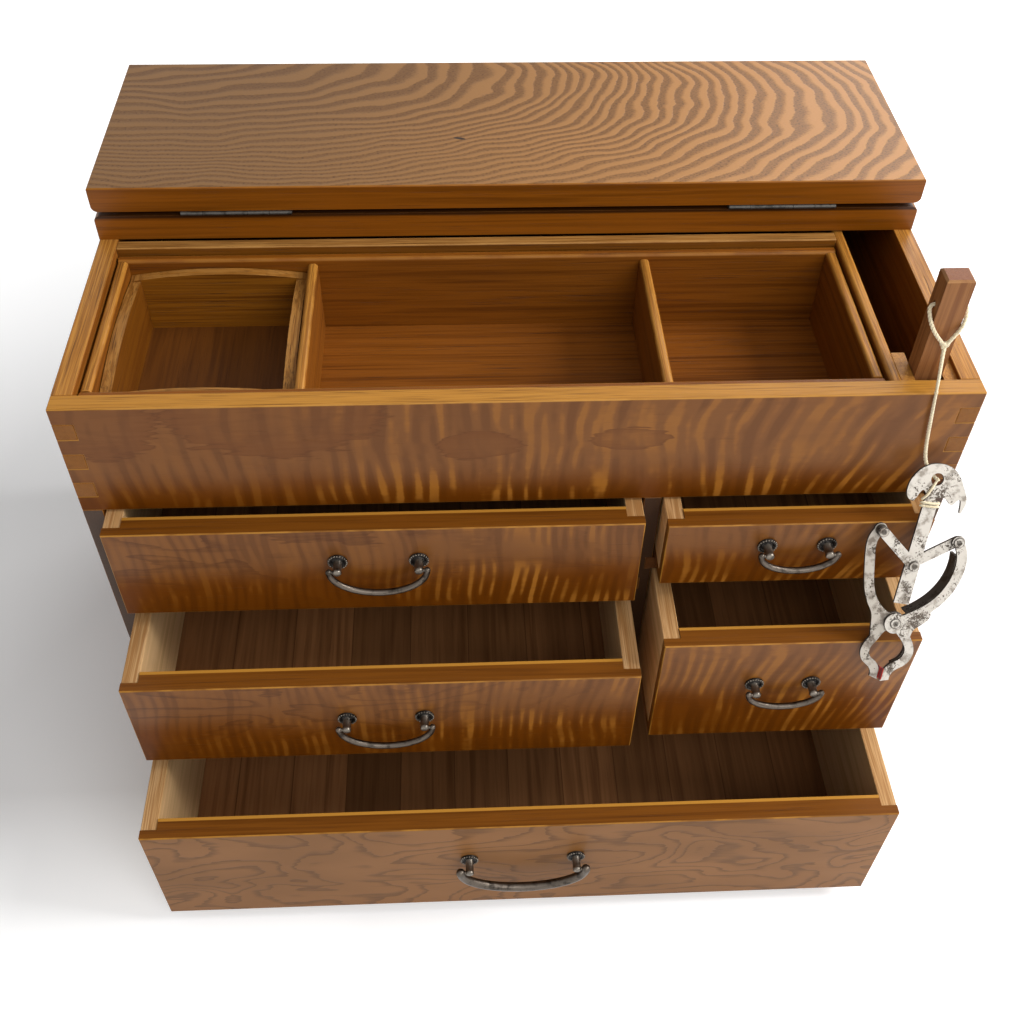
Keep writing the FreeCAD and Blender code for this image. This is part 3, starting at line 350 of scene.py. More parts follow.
@dataclass(frozen=True)
class ShowFace:
    """Face of a board that carries a figure.

    Attributes:
        figure: The figure.
        direction: Way that the face looks.
        shift: Shift of the figure along the face, in millimetres.
        lip: Depth of the bare strip along the back of the top edge, in millimetres.
        rings: Strength of the ring lines over a curl.
        islands: Flat-sawn spots in a curl, each by its middle X and Z and its two radii, in millimetres.
        fade: Places along X between which the streaks of a curl fade in, in millimetres.
        sheen_line: Height on the board, from 0 to 1, above which a curl takes a lighter, greyer colour, a
            painted sheen, and below which it is darker.
        spacing: Space from one streak of a curl to the next, in millimetres.
    """

    figure: Figure
    direction: Triple
    shift: Triple = (0.0, 0.0, 0.0)
    lip: float = 0.0
    rings: float = 0.0
    islands: tuple[tuple[float, float, float, float], ...] = ()
    fade: tuple[float, float] = (-200.0, -190.0)
    sheen_line: float = 0.5
    spacing: float = 5.0


PLANKS_FROM = 1000.0    # Millimetres added before planks are counted, so that the counts are positive.
RINGS_FROM = 2000.0     # The same for the lid's rings.
ARCH_WIDTH = 6.4        # Space from one ring of the lid to the next, in millimetres.
CROWDED_RINGS = 6.0     # Rings added where the lid's rings crowd.


@dataclass(frozen=True)
class Wood:
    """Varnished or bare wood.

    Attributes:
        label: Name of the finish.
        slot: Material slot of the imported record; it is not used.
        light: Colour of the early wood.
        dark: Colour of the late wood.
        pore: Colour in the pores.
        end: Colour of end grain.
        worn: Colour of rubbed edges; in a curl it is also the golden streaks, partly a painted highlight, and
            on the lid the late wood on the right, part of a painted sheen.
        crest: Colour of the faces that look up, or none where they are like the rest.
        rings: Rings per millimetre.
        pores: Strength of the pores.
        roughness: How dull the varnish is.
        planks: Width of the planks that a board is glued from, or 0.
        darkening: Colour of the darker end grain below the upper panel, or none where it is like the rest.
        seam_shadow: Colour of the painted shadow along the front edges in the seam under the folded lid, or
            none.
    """

    label: str
    slot: str
    light: str
    dark: str
    pore: str
    end: str
    worn: str
    crest: str
    rings: float = 0.2
    pores: float = 0.6
    roughness: float = 0.4
    planks: float = 0.0
    darkening: str = ""
    seam_shadow: str = ""

    def straight(self, g: Graph, place: Socket) -> tuple[Socket, Socket]:
        """Straight grain with open pores.

        Args:
            g: Nodes of the finish.
            place: Place with the fibres along X.

        Returns:
            The colour, and the height of the surface.
        """
        rings = g.noise(place, (0.0045, self.rings, self.rings), 3.0, 0.6, 0.25)
        colour = g.ramp(rings, (0.30, self.dark), (0.52, self.light), (0.66, self.dark), (0.74, self.light))
        fibre = g.noise(place, (0.035, 2.1, 2.1), 2.0, 0.6)
        dust = g.step(fibre, 0.56, 0.72)
        late = g.step(rings, 0.62, 0.36, 0.35, 1.0)
        mask = g.times(g.times(dust, late), self.pores)
        colour = g.mixed(mask, colour, self.pore)
        if self.planks:
            _, y, _ = g.split(place)
            count = g.math("DIVIDE", g.total(y, PLANKS_FROM), self.planks)
            index = g.math("FLOOR", count)
            chance = made(g.tree, "ShaderNodeTexWhiteNoise", {"W": index}, noise_dimensions="1D")
            shade = g.step(chance.outputs["Value"], 0.0, 1.0, 0.0, 0.6)
            colour = g.mixed(shade, colour, self.pore)
            edge = g.math("ABSOLUTE", g.math("SUBTRACT", g.math("FRACT", count), 0.5))
            colour = g.mixed(g.step(edge, 0.485, 0.5, 0.0, 0.7), colour, self.pore)
        return colour, g.math("SUBTRACT", 1.0, mask)

    def rings_across(self, g: Graph, place: Socket, count: float) -> Socket:
        """Ragged ring lines of flat-sawn wood, like the lines of a map.

        Args:
            g: Nodes of the finish.
            place: Place in the cabinet's frame, shifted for the piece.
            count: Lines from valley to hill.

        Returns:
            Mask of the lines, sharp on one side and fading on the other.
        """
        hills = g.noise(place, (0.0105, 0.01, 0.0235), 2.2, 0.42, 0.5)
        ragged = g.noise(place, (0.055, 0.01, 0.40), 2.0)
        phase = g.math("FRACT", g.total(g.times(hills, count), g.times(ragged, 0.6)))
        fuzz = g.noise(place, (0.08, 0.1, 1.5), 2.0)
        line = g.times(g.step(phase, 0.0, 0.05), g.step(phase, 0.42, 0.08))
        return g.times(line, g.step(fuzz, 0.25, 0.55, 0.5, 1.0))

    def curl(self, g: Graph, place: Socket, face: ShowFace, rise: Socket) -> tuple[Socket, Socket]:
        """Upright golden streaks of curly wood, with ring lines, flat-sawn islands and a painted sheen on its
        upper part.

        Args:
            g: Nodes of the finish.
            place: Place in the cabinet's frame, shifted for the piece.
            face: The face that carries it.
            rise: Height on the board, from 0 to 1.

        Returns:
            The colour, and the height of the surface.
        """
        x, _, z = g.split(g.place)
        x_shift, _, z_shift = face.shift
        drift = g.noise(place, (0.012, 0.01, 0.02), 1.0)
        lean = g.times(rise, g.step(x, 70.0, 190.0, 0.0, -24.0))
        across = g.total(x, lean, g.times(drift, 14.0), x_shift)
        slid = g.joined(across, 0.0, g.total(z, z_shift))
        ribs = g.math("SINE", g.times(across, 2 * math.pi / face.spacing))
        broken = g.step(g.noise(place, (0.022, 0.01, 0.055), 2.0, 0.6), 0.38, 0.60, 0.02, 0.125)
        streak = g.total(g.noise(slid, (0.13, 1.0, 0.02), 1.5, 0.5), g.times(ribs, broken))
        field = g.noise(place, (0.013, 0.01, 0.032), 2.0, 0.5)
        ragged = g.noise(place, (0.05, 0.01, 0.55), 2.0)
        # The golden streaks are the curl figure; their brightness partly stands in for the wood's shifting
        # reflection, a painted highlight.
        bright = g.step(g.total(streak, g.times(ragged, 0.08)), 0.55, 0.70)
        bright = g.times(bright, g.step(field, 0.34, 0.56, 0.1, 1.0))
        bright = g.times(bright, g.step(x, *face.fade, 0.25, 1.0))
        # Painted sheen: the upper part of the face takes the light colour, standing in for a reflection, and
        # the lower part takes the dark one; the streaks show more in the lower part.
        below_sheen = g.step(g.total(rise, g.times(field, 0.3)), face.sheen_line + 0.38, face.sheen_line - 0.06)
        bright = g.times(bright, g.step(below_sheen, 0.0, 1.0, 0.36, 0.74))
        g.gloss = g.step(below_sheen, 0.0, 1.0, 0.18, 0.06)
        colour = g.mixed(below_sheen, self.light, self.dark)
        dim = g.step(streak, 0.50, 0.34, 0.0, 0.36)
        colour = g.mixed(dim, colour, self.pore)
        colour = g.mixed(bright, colour, self.worn)
        for middle_x, middle_z, half_x, half_z in face.islands:
            off_x = g.math("DIVIDE", g.math("SUBTRACT", x, middle_x), half_x)
            off_z = g.math("DIVIDE", g.math("SUBTRACT", z, middle_z), half_z)
            far = g.total(g.times(off_x, off_x), g.times(off_z, off_z), g.times(ragged, 1.5), -0.75)
            inner = g.times(g.step(far, 1.04, 0.96), g.step(far, 0.0, 0.9, 0.25, 0.8))
            colour = g.mixed(inner, colour, self.end)
            rim = g.times(g.step(far, 1.08, 1.0), g.step(far, 0.82, 0.96))
            colour = g.mixed(g.times(rim, 0.25), colour, self.pore)
        plain = g.times(g.step(x, *face.fade, 1.0, 0.35), g.step(rise, 0.25, 0.6, 0.3, 1.0))
        line = g.times(self.rings_across(g, place, 9.0), g.times(plain, face.rings))
        colour = g.mixed(line, colour, self.pore)
        fleck = g.step(g.noise(place, (0.06, 0.1, 1.6), 2.0), 0.63, 0.74, 0.0, 0.25)
        return g.mixed(fleck, colour, self.pore), g.math("SUBTRACT", 1.0, fleck)

    def contour(self, g: Graph, place: Socket, face: ShowFace, rise: Socket) -> tuple[Socket, Socket]:
        """Swirling ring lines of flat-sawn wood.

        Args:
            g: Nodes of the finish.
            place: Place in the cabinet's frame, shifted for the piece.
            face: The face that carries it.
            rise: Height on the board, from 0 to 1.

        Returns:
            The colour, and the height of the surface.
        """
        g.gloss = 0.12
        line = g.times(self.rings_across(g, place, 14.0), face.rings)
        tone = g.step(g.total(g.noise(place, (0.012, 0.01, 0.03), 2.0), g.times(rise, 0.1)), 0.35, 0.75)
        colour = g.mixed(line, g.mixed(tone, self.light, self.end), self.dark)
        fleck = g.step(g.noise(place, (0.08, 0.1, 1.5), 2.0), 0.60, 0.74, 0.0, 0.2)
        return g.mixed(fleck, colour, self.pore), g.math("SUBTRACT", 1.0, g.times(line, 0.6))

    def cathedral(self, g: Graph, place: Socket) -> tuple[Socket, Socket]:
        """Nested arches of a flat-sawn board, their tips to the right, with one small knot hole and a painted
        sheen towards the right.

        Args:
            g: Nodes of the finish.
            place: Place in the cabinet's frame.

        Returns:
            The colour, and the height of the surface.
        """
        x, y, _ = g.split(place)
        off = g.math("SUBTRACT", y, g.total(101.0, g.times(x, -0.2)))
        heart = g.total(54.0, g.times(x, 0.17))
        cone = g.math("SQRT", g.total(g.times(off, off), g.times(heart, heart)))
        taper = g.times(x, g.total(0.33, g.times(x, 0.000585)))
        wave = g.noise(place, (0.026, 0.034, 0.01), 1.2, 0.45, 0.2)
        jag = g.noise(place, (0.10, 0.30, 0.01), 2.0)
        level = g.total(taper, cone, g.times(wave, 13.0), g.times(jag, 0.9), RINGS_FROM)
        crowd = g.step(level, RINGS_FROM + 55.0, RINGS_FROM + 130.0, 0.0, CROWDED_RINGS)
        soft = g.noise(place, (0.22, 1.6, 0.1), 2.0, 0.6)
        grain = g.noise(place, (1.0, 1.5, 0.1), 2.0, 0.6)
        phase = g.math("FRACT", g.total(g.math("DIVIDE", level, ARCH_WIDTH), crowd, g.times(soft, 0.16),
                                        g.times(grain, 0.2)))
        band = g.times(g.step(phase, 0.0, 0.08), g.step(phase, 0.70, 0.36))
        # Painted sheen: the early and late wood both turn lighter towards the right, where the lid catches the
        # light.
        tone = g.mixed(g.step(x, -160.0, 190.0), self.end, self.light)
        late = g.mixed(g.step(x, -160.0, 190.0), self.dark, self.worn)
        strong = g.times(g.step(x, -190.0, 120.0, 0.62, 0.88), g.step(off, -90.0, -45.0, 0.75, 1.0))
        colour = g.mixed(g.times(band, strong), tone, late)
        dots = g.step(g.noise(place, (0.7, 1.9, 0.1), 2.0, 0.6), 0.50, 0.64)
        pit = g.times(dots, g.total(g.times(band, 0.85), 0.1))
        colour = g.mixed(g.times(pit, self.pores), colour, self.pore)
        spot_x = g.times(g.math("ADD", x, 24.0), 0.34)
        spot_y = g.math("SUBTRACT", g.total(y, g.times(x, 0.25)), 33.5)
        far = g.math("SQRT", g.total(g.times(spot_x, spot_x), g.times(spot_y, spot_y)))
        hole = g.step(far, 1.15, 0.8)
        return g.mixed(g.times(hole, 0.95), colour, "1C1009"), g.math("SUBTRACT", 1.0, g.times(band, 0.5))

    def figured(self, g: Graph, place: Socket, face: ShowFace, rise: Socket) -> tuple[Socket, Socket]:
        """Figure of a show face.

        Args:
            g: Nodes of the finish.
            place: Place in the cabinet's frame, shifted for the piece.
            face: The face that carries it.
            rise: Height on the board, from 0 to 1.

        Returns:
            The colour, and the height of the surface.
        """
        if face.figure is Figure.CATHEDRAL:
            return self.cathedral(g, place)
        figure = self.curl if face.figure is Figure.CURL else self.contour
        return figure(g, place, face, rise)

    def material(self, name: str, run: Run, shift: Triple, face: Optional[ShowFace], low: Vector,
                 high: Vector, returns: float) -> Material:
        """Finish of one board.

        Args:
            name: Name of the board.
            run: Way that its fibres run.
            shift: Shift of the grain, in millimetres.
            face: Its figured face, if it has one.
            low: Lowest corner of the board, in millimetres.
            high: Highest corner.
            returns: Thickness of the side walls of a box, whose fibres run deep, or 0.

        Returns:
            The material.
        """
        g = Graph(f"{self.label}_{name}")
        place = g.mapped(g.place, location=shift, turn=run.value)
        x, y, z = g.split(g.place)
        across = g.math("ABSOLUTE", g.along(run.direction()))
        if returns:
            far = g.math("ABSOLUTE", g.math("SUBTRACT", x, (low.x + high.x) / 2))
            inner = (high.x - low.x) / 2 - returns
            wall = g.step(far, inner - 0.1, inner - 0.05)
            place = g.mixed(wall, place, g.mapped(g.place, location=shift, turn=Run.DEEP.value))
            across = g.times(across, g.math("SUBTRACT", 1.0, wall))
        colour, height = self.straight(g, place)
        if returns:
            colour = g.mixed(g.times(wall, 0.7), colour, self.dark)
        ends = g.step(across, 0.75, 0.9)
        speck = g.noise(g.place, (0.8, 0.8, 0.8), 2.0)
        colour = g.mixed(g.times(ends, g.step(speck, 0.3, 0.7, 0.55, 0.9)), colour, self.end)
        looks_up = g.step(g.along((0.0, 0.0, 1.0)), 0.6, 0.8)
        # End grain below the upper panel's lower edge takes the darker colour.
        if self.darkening:
            foot = inside("upper_front_panel")[0].z / MM
            colour = g.mixed(g.times(ends, g.step(z, foot + 0.2, foot - 0.2, 0.0, 0.9)), colour, self.darkening)
        # Painted shadow: a dark line along the front edges at the fixed top's upper edge, under the folded lid,
        # standing in for the shade in the gap between them.
        if self.seam_shadow:
            level = inside("rear_top")[1].z / MM
            near = g.step(g.math("ABSOLUTE", g.math("SUBTRACT", z, level)), 2.2, 0.9, 0.0, 0.88)
            strip = g.times(looks_up, g.step(y, low.y + 5.0, low.y + 3.0))
            edge = g.math("MAXIMUM", strip, g.step(g.along((0.0, -1.0, 0.0)), 0.1, 0.4))
            colour = g.mixed(g.times(near, edge), colour, self.seam_shadow)
        if self.crest:
            streaks = g.step(g.noise(place, (0.018, 0.8, 0.8), 3.0, 0.65), 0.40, 0.60, 0.35, 0.95)
            streaks = g.times(streaks, g.step(height, 0.2, 1.0, 0.2, 1.0))
            colour = g.mixed(g.times(looks_up, streaks), colour, self.crest)
            dashes = g.step(g.noise(place, (0.03, 2.4, 2.4), 2.0, 0.6), 0.52, 0.68, 0.0, 0.6)
            colour = g.mixed(g.times(looks_up, dashes), colour, self.pore)
        roughness: Value = g.step(g.noise(g.place, (0.02, 0.02, 0.02), 3.0), 0.3, 0.7,
                                  self.roughness - 0.05, self.roughness + 0.08)
        if face:
            show = SHOW_WOODS[face.figure]
            rise = g.math("DIVIDE", g.math("SUBTRACT", z, low.z), high.z - low.z)
            spot = g.mapped(g.place, location=face.shift)
            shown, relief = show.figured(g, spot, face, rise)
            mask = g.step(g.along(face.direction), 0.8, 0.97)
            if face.lip:
                lip = g.times(g.step(y, high.y - face.lip - 0.35, high.y - face.lip), looks_up)
                colour = g.mixed(g.times(lip, 0.9), colour, self.worn)
            colour = g.mixed(mask, colour, shown)
            height = g.total(g.times(mask, relief), g.times(g.math("SUBTRACT", 1.0, mask), height))
            roughness = g.step(mask, 0.0, 1.0, self.roughness, show.roughness)
        rub = g.times(g.arris(), g.step(g.noise(g.place, (0.06, 0.06, 0.06), 3.0), 0.35, 0.6, 0.2, 0.7))
        colour = g.mixed(rub, colour, self.worn)
        g.raised(height, 0.12)
        return g.finished(colour, roughness)

    def dress(self, piece: Object, run: Run, face: Optional[ShowFace] = None, returns: float = 0.0) -> None:
        """Give a board its finish.

        Args:
            piece: The board.
            run: Way that its fibres run.
            face: Its figured face, if it has one.
            returns: Thickness of the side walls of a box, whose fibres run deep, or 0.
        """
        corners = [Vector(c) / MM for c in piece.bound_box]
        low = Vector(min(c[i] for c in corners) for i in range(3))
        high = Vector(max(c[i] for c in corners) for i in range(3))
        middle = (low + high) / 2
        # The grain's shift follows from the board's place, so that no two boards are alike.
        shift = (middle.z * 7.1 + 31.0, middle.x * 1.7 - middle.y * 0.9, middle.y * 1.3 + middle.z * 2.3)
        cover(piece, self.material(piece.name, run, shift, face, low, high, returns))


CASE_OAK = Wood("case_oak", "case_wood", "8C551C", "6C3B0E", "3A1D06", "80501C", "946026", "B98038",
                rings=0.16, pores=0.7, roughness=0.4, darkening="40332B")
EDGE_OAK = Wood("edge_oak", "case_wood", "B47C30", "96601C", "5A340C", "A9752F", "B8833C", "B07A30",
                rings=0.5, pores=0.75, roughness=0.42)
TOP_OAK = Wood("top_oak", "top_wood", "8C4F0E", "703D07", "3C1E04", "8A5410", "9A6018", "",
               rings=0.2, pores=0.5, roughness=0.36, seam_shadow="1E0D04")
TRAY_OAK = Wood("tray_oak", "tray_wood", "804910", "623408", "42230A", "93602A", "AE772F", "B27A32",
                rings=0.22, pores=0.7, roughness=0.42)
WALL_OAK = replace(TRAY_OAK, label="wall_oak", worn="94601F", crest="")
RAIL_OAK = Wood("rail_oak", "case_wood", "7C4A12", "60370A", "3A1E08", "7E5020", "A87A40", "A87A40",
                rings=0.3, pores=0.8, roughness=0.44)
PIN_OAK = Wood("pin_oak", "tray_wood", "8C5614", "5E3208", "341A06", "8A5A26", "A2722E", "A07036",
               rings=0.34, pores=0.9, roughness=0.42)
FLOOR_OAK = Wood("floor_oak", "tray_wood", "844B15", "623308", "3A1E06", "8A5016", "844C16", "",
                 rings=0.3, pores=0.9, roughness=0.42)
FRONT_OAK = Wood("front_oak", "figured_wood", "74430F", "5E3307", "3C1F06", "7A4A14", "B98232", "",
                 rings=0.2, pores=0.5, roughness=0.4)
# Drawer sides and back. Its darker crest is partly painted shade on the sides' top edges; its pale face colour
# partly stands in for the light from the right on the inner sides.
PALE_WOOD = Wood("pale_wood", "drawer_wood", "DCB482", "C69C68", "8A6236", "CCA470", "C49A66", "9E7040",
                 rings=0.12, pores=0.3, roughness=0.6)
PLANK_WOOD = Wood("plank_wood", "drawer_wood", "A06C42", "7A4E2C", "40260F", "7A5230", "8C6238", "",
                  rings=0.12, pores=0.4, roughness=0.5, planks=31.0)
INSIDE_WOOD = Wood("inside_wood", "case_wood", "623812", "4A280C", "281404", "482810", "8E6028", "",
                   rings=0.12, pores=0.5, roughness=0.5, darkening="34200F")
POST_WOOD = Wood("post_wood", "post_wood", "95643A", "784A28", "4A2A12", "80523A", "A67848", "80523A",
                 rings=0.3, pores=0.5, roughness=0.5)
# Its light colour is the painted sheen on the upper part of a curl, its dark colour is the lower part, and its
# worn colour is the golden streaks.
CURL_WOOD = Wood("curl_wood", "figured_wood", "784A20", "673505", "482304", "6C3E16", "B0722A", "",
                 roughness=0.38)
# Paler and greyer than the wood's own colour: a painted reflection of the white floor in front of the bottom
# drawer.
CONTOUR_WOOD = Wood("contour_wood", "figured_wood", "8C5F35", "583819", "523418", "7E542B", "B0855C", "",
                    roughness=0.44)
# On the lid, its end and light colours are the early wood at the left and right, and its dark and worn colours
# the late wood at the left and right; the lighter right side is a painted sheen.
ARCH_WOOD = Wood("arch_wood", "top_wood", "AE7A44", "5C3C1E", "46290F", "7E5A34", "7E5428", "",
                 pores=0.8, roughness=0.42)
SHOW_WOODS = {Figure.CURL: CURL_WOOD, Figure.CONTOUR: CONTOUR_WOOD, Figure.CATHEDRAL: ARCH_WOOD}


@dataclass(frozen=True)
class Metal:
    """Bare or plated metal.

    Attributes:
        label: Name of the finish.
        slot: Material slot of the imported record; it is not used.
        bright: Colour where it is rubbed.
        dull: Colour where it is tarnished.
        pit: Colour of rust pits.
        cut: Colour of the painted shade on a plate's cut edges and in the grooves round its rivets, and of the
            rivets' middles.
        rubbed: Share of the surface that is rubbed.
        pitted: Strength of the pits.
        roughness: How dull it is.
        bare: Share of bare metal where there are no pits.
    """

    label: str
    slot: str
    bright: str
    dull: str
    pit: str
    cut: str
    rubbed: float
    pitted: float
    roughness: float
    bare: float = 1.0

    def material(self, name: str, front: Sequence[float], rivets: Sequence[Sequence[float]]) -> Material:
        """Finish of one piece.

        Args:
            name: Name of the piece.
            front: Way a plate faces, so that its cut edges can carry painted shade, or none.
            rivets: Places of the rivets through a plate, in millimetres.

        Returns:
            The material.
        """
        g = Graph(f"{self.label}_{name}")
        cloud = g.noise(g.place, (0.22, 0.22, 0.22), 3.0, 0.6)
        worn = self.rubbed * 0.3
        colour = g.mixed(g.step(cloud, 0.66 - worn, 0.46 - worn), self.bright, self.dull)
        patch = g.noise(g.place, (0.13, 0.13, 0.13), 2.0)
        grit = g.noise(g.place, (1.05, 1.05, 1.05), 4.0, 0.7)
        pits = g.step(g.total(grit, g.times(patch, 0.7)), 0.93, 0.97)
        pits = g.times(pits, self.pitted)
        g.raised(g.math("SUBTRACT", 1.0, pits), 0.15)
        colour = g.mixed(pits, colour, self.pit)
        edge_and_rivet_shade: Value = 0.0
        # Painted shade: the plate's cut edges and the grooves round its rivets darken as if in shadow; the
        # rivets' middles darken too.
        if front:
            edge_and_rivet_shade = g.step(g.math("ABSOLUTE", g.along(front)), 0.75, 0.35, 0.0, 0.88)
        for rivet in rivets:
            far = g.off_line(rivet, front)
            ring = g.times(g.step(far, 1.95, 2.2), g.step(far, 2.8, 2.5, 0.0, 0.62))
            edge_and_rivet_shade = g.math("MAXIMUM", edge_and_rivet_shade, g.math("MAXIMUM", ring, g.step(far, 1.7, 0.9, 0.0, 0.72)))
        colour = g.mixed(edge_and_rivet_shade, colour, self.cut)
        pits = g.math("MAXIMUM", pits, edge_and_rivet_shade)
        roughness = g.total(g.times(cloud, 0.2), g.times(pits, 0.4), self.roughness - 0.1)
        return g.finished(colour, roughness, g.step(pits, 0.0, 1.0, self.bare, 0.2))

    def dress(self, piece: Object, front: Sequence[float] = (), rivets: Sequence[Sequence[float]] = ()) -> None:
        """Give a piece its finish.

        Args:
            piece: The piece.
            front: Way a plate faces, or none.
            rivets: Places of the rivets through a plate, in millimetres.
        """
        cover(piece, self.material(piece.name, front, rivets))


PEWTER = Metal("pewter", "handle_metal", "5A524A", "35302B", "14110F", "14110F",
               rubbed=0.45, pitted=0.1, roughness=0.36)
DARK_PEWTER = Metal("dark_pewter", "handle_metal", "34312F", "1C1A18", "0C0A09", "0C0A09",
                    rubbed=0.3, pitted=0.1, roughness=0.42)
BRIGHT_PEWTER = Metal("bright_pewter", "handle_metal", "6E675E", "423E39", "1A1714", "1A1714",
                      rubbed=0.45, pitted=0.1, roughness=0.34)
HINGE_STEEL = Metal("hinge_steel", "hinge_metal", "524F4B", "3A3835", "2A2622", "2A2622",
                    rubbed=0.4, pitted=0.1, roughness=0.55)
NICKEL = Metal("nickel", "clamp_metal", "C4BDB3", "8E857A", "584D43", "261E17",
               rubbed=0.45, pitted=0.92, roughness=0.42, bare=0.5)
DULL_NICKEL = Metal("dull_nickel", "clamp_metal", "ACA499", "786E64", "544A40", "261E17",
                    rubbed=0.42, pitted=0.9, roughness=0.46, bare=0.55)


@dataclass(frozen=True)
class Cotton:
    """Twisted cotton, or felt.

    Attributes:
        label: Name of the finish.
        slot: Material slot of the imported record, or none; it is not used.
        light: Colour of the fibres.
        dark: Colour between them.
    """

    label: str
    slot: str
    light: str
    dark: str

    def dress(self, piece: Object) -> None:
        """Give a piece its finish.

        Args:
            piece: The piece.
        """
        g = Graph(f"{self.label}_{piece.name}")
        fibre = g.noise(g.place, (3.0, 3.0, 3.0), 3.0, 0.6)
        darkening = g.noise(g.place, (0.12, 0.12, 0.12), 2.0)
        colour = g.ramp(fibre, (0.30, self.dark), (0.55, self.light))
        colour = g.mixed(g.step(darkening, 0.5, 0.75, 0.0, 0.3), colour, self.dark)
        g.raised(fibre, 0.12)
        g.shader.inputs["Sheen Weight"].default_value = 0.3
        cover(piece, g.finished(colour, g.step(fibre, 0.3, 0.7, 0.95, 0.8)))


COTTON = Cotton("cotton", "cotton_cord", "F3E6C6", "B49E72")
RED_FELT = Cotton("red_felt", "cotton_cord", "A82418", "6A120C")


def cover(piece: Object, material: Material) -> None:
    """Put one material on a whole piece.

    Args:
        piece: The piece.
        material: Its material.
    """
    piece.data.materials.clear()
    piece.data.materials.append(material)


def choose(piece: Object) -> None:
    """Select one object alone and make it the active one."""
    bpy.ops.object.select_all(action="DESELECT")
    piece.select_set(True)
    bpy.context.view_layer.objects.active = piece


def settled(piece: Object, name: str) -> Object:
    """Name a new object and put its place into its mesh.

    Args:
        piece: The new object.
        name: Its name.

    Returns:
        The same object.
    """
    choose(piece)
    piece.name = name
    piece.data.name = name
    bpy.ops.object.transform_apply(location=True, rotation=True, scale=True)
    return piece


def eased(piece: Object, width: float, segments: int = 2, angle: float = 35.0) -> None:
    """Ease the edges of a piece and shade it smooth between them.

    Args:
        piece: The piece.
        width: Width of the eased edge in metres.
        segments: Facets across it.
        angle: Edges sharper than this are eased, in degrees.
    """
    choose(piece)
    modifier = piece.modifiers.new("eased", "BEVEL")
    modifier.width = width
    modifier.segments = segments
    modifier.limit_method = "ANGLE"
    modifier.angle_limit = math.radians(angle)
    modifier.use_clamp_overlap = True
    bpy.ops.object.modifier_apply(modifier=modifier.name)
    bpy.ops.object.shade_smooth_by_angle(angle=math.radians(60))
    modifier = piece.modifiers.new("even", "WEIGHTED_NORMAL")
    modifier.keep_sharp = True
    bpy.ops.object.modifier_apply(modifier=modifier.name)


def softened(node: str, width: float, name: Optional[str] = None) -> Object:
    """Copy of a CAD node with eased edges, standing for the node on its body.

    Args:
        node: Name of the node.
        width: Width of the eased edges in metres.
        name: Name of the copy.

    Returns:
        The copy.
    """
    source = frame["nodes"][node]
    piece = bpy.data.objects.new(name or f"{node}_worn", source.data.copy())
    bpy.context.scene.collection.objects.link(piece)
    choose(piece)
    bpy.ops.mesh.customdata_custom_splitnormals_clear()
    bpy.ops.object.mode_set(mode="EDIT")
    bpy.ops.mesh.select_all(action="SELECT")
    bpy.ops.mesh.remove_doubles(threshold=2e-6)
    bpy.ops.mesh.dissolve_limited(angle_limit=math.radians(0.4))
    bpy.ops.mesh.normals_make_consistent(inside=False)
    bpy.ops.object.mode_set(mode="OBJECT")
    eased(piece, width)
    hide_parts(node)
    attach(piece, source["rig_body"])
    return piece


def beam(name: str, low: Sequence[float], high: Sequence[float], width: float) -> Object:
    """Straight board between two corners, with eased edges.

    Args:
        name: Name of the board.
        low: Lowest corner in metres.
        high: Highest corner in metres.
        width: Width of the eased edges.

    Returns:
        The board.
    """
    bpy.ops.object.select_all(action="DESELECT")
    middle = (Vector(low) + Vector(high)) / 2
    bpy.ops.mesh.primitive_cube_add(size=1.0, location=middle)
    piece = bpy.context.object
    piece.scale = Vector(high) - Vector(low)
    settled(piece, name)
    eased(piece, width)
    return piece


def united(pieces: Sequence[Object], name: str) -> Object:
    """Join several objects into one.

    Args:
        pieces: The objects.
        name: Name of the result.

    Returns:
        The joined object.
    """
    choose(pieces[0])
    for piece in pieces[1:]:
        piece.select_set(True)
    bpy.ops.object.join()
    return settled(pieces[0], name)


def turned(name: str, centre: Vector, rings: Sequence[tuple[float, float]], sides: int = 28) -> Object:
    """Turned piece whose axis runs towards the front.

    Args:
        name: Name of the piece.
        centre: Middle of its first ring.
        rings: Radius and reach towards the front of each ring, in metres.
        sides: Facets round it.

    Returns:
        The piece.
    """
    bpy.ops.object.select_all(action="DESELECT")
    bpy.ops.mesh.primitive_circle_add(vertices=sides, radius=rings[0][0], fill_type="NGON", location=centre,
                                      rotation=(math.pi / 2, 0.0, 0.0))
    piece = settled(bpy.context.object, name)
    bpy.ops.object.mode_set(mode="EDIT")
    bpy.ops.mesh.select_all(action="SELECT")
    for (radius, reach), (wider, further) in zip(rings, rings[1:]):
        bpy.ops.mesh.extrude_region_move(TRANSFORM_OT_translate={"value": (0.0, reach - further, 0.0)})
        middle = centre + Vector((0.0, -further, 0.0))
        ratio = wider / radius
        bpy.ops.transform.resize(value=(ratio, 1.0, ratio), center_override=middle)
    bpy.ops.mesh.select_all(action="SELECT")
    bpy.ops.mesh.normals_make_consistent(inside=False)
    bpy.ops.object.mode_set(mode="OBJECT")
    bpy.ops.object.shade_smooth_by_angle(angle=math.radians(45))
    return piece


def copied(piece: Object, move: Matrix) -> Object:
    """Copy of a piece with its own mesh, moved.

    Args:
        piece: The piece.
        move: The move.

    Returns:
        The copy.
    """
    twin = piece.copy()
    twin.data = piece.data.copy()
    twin.data.transform(move)
    bpy.context.scene.collection.objects.link(twin)
    return twin


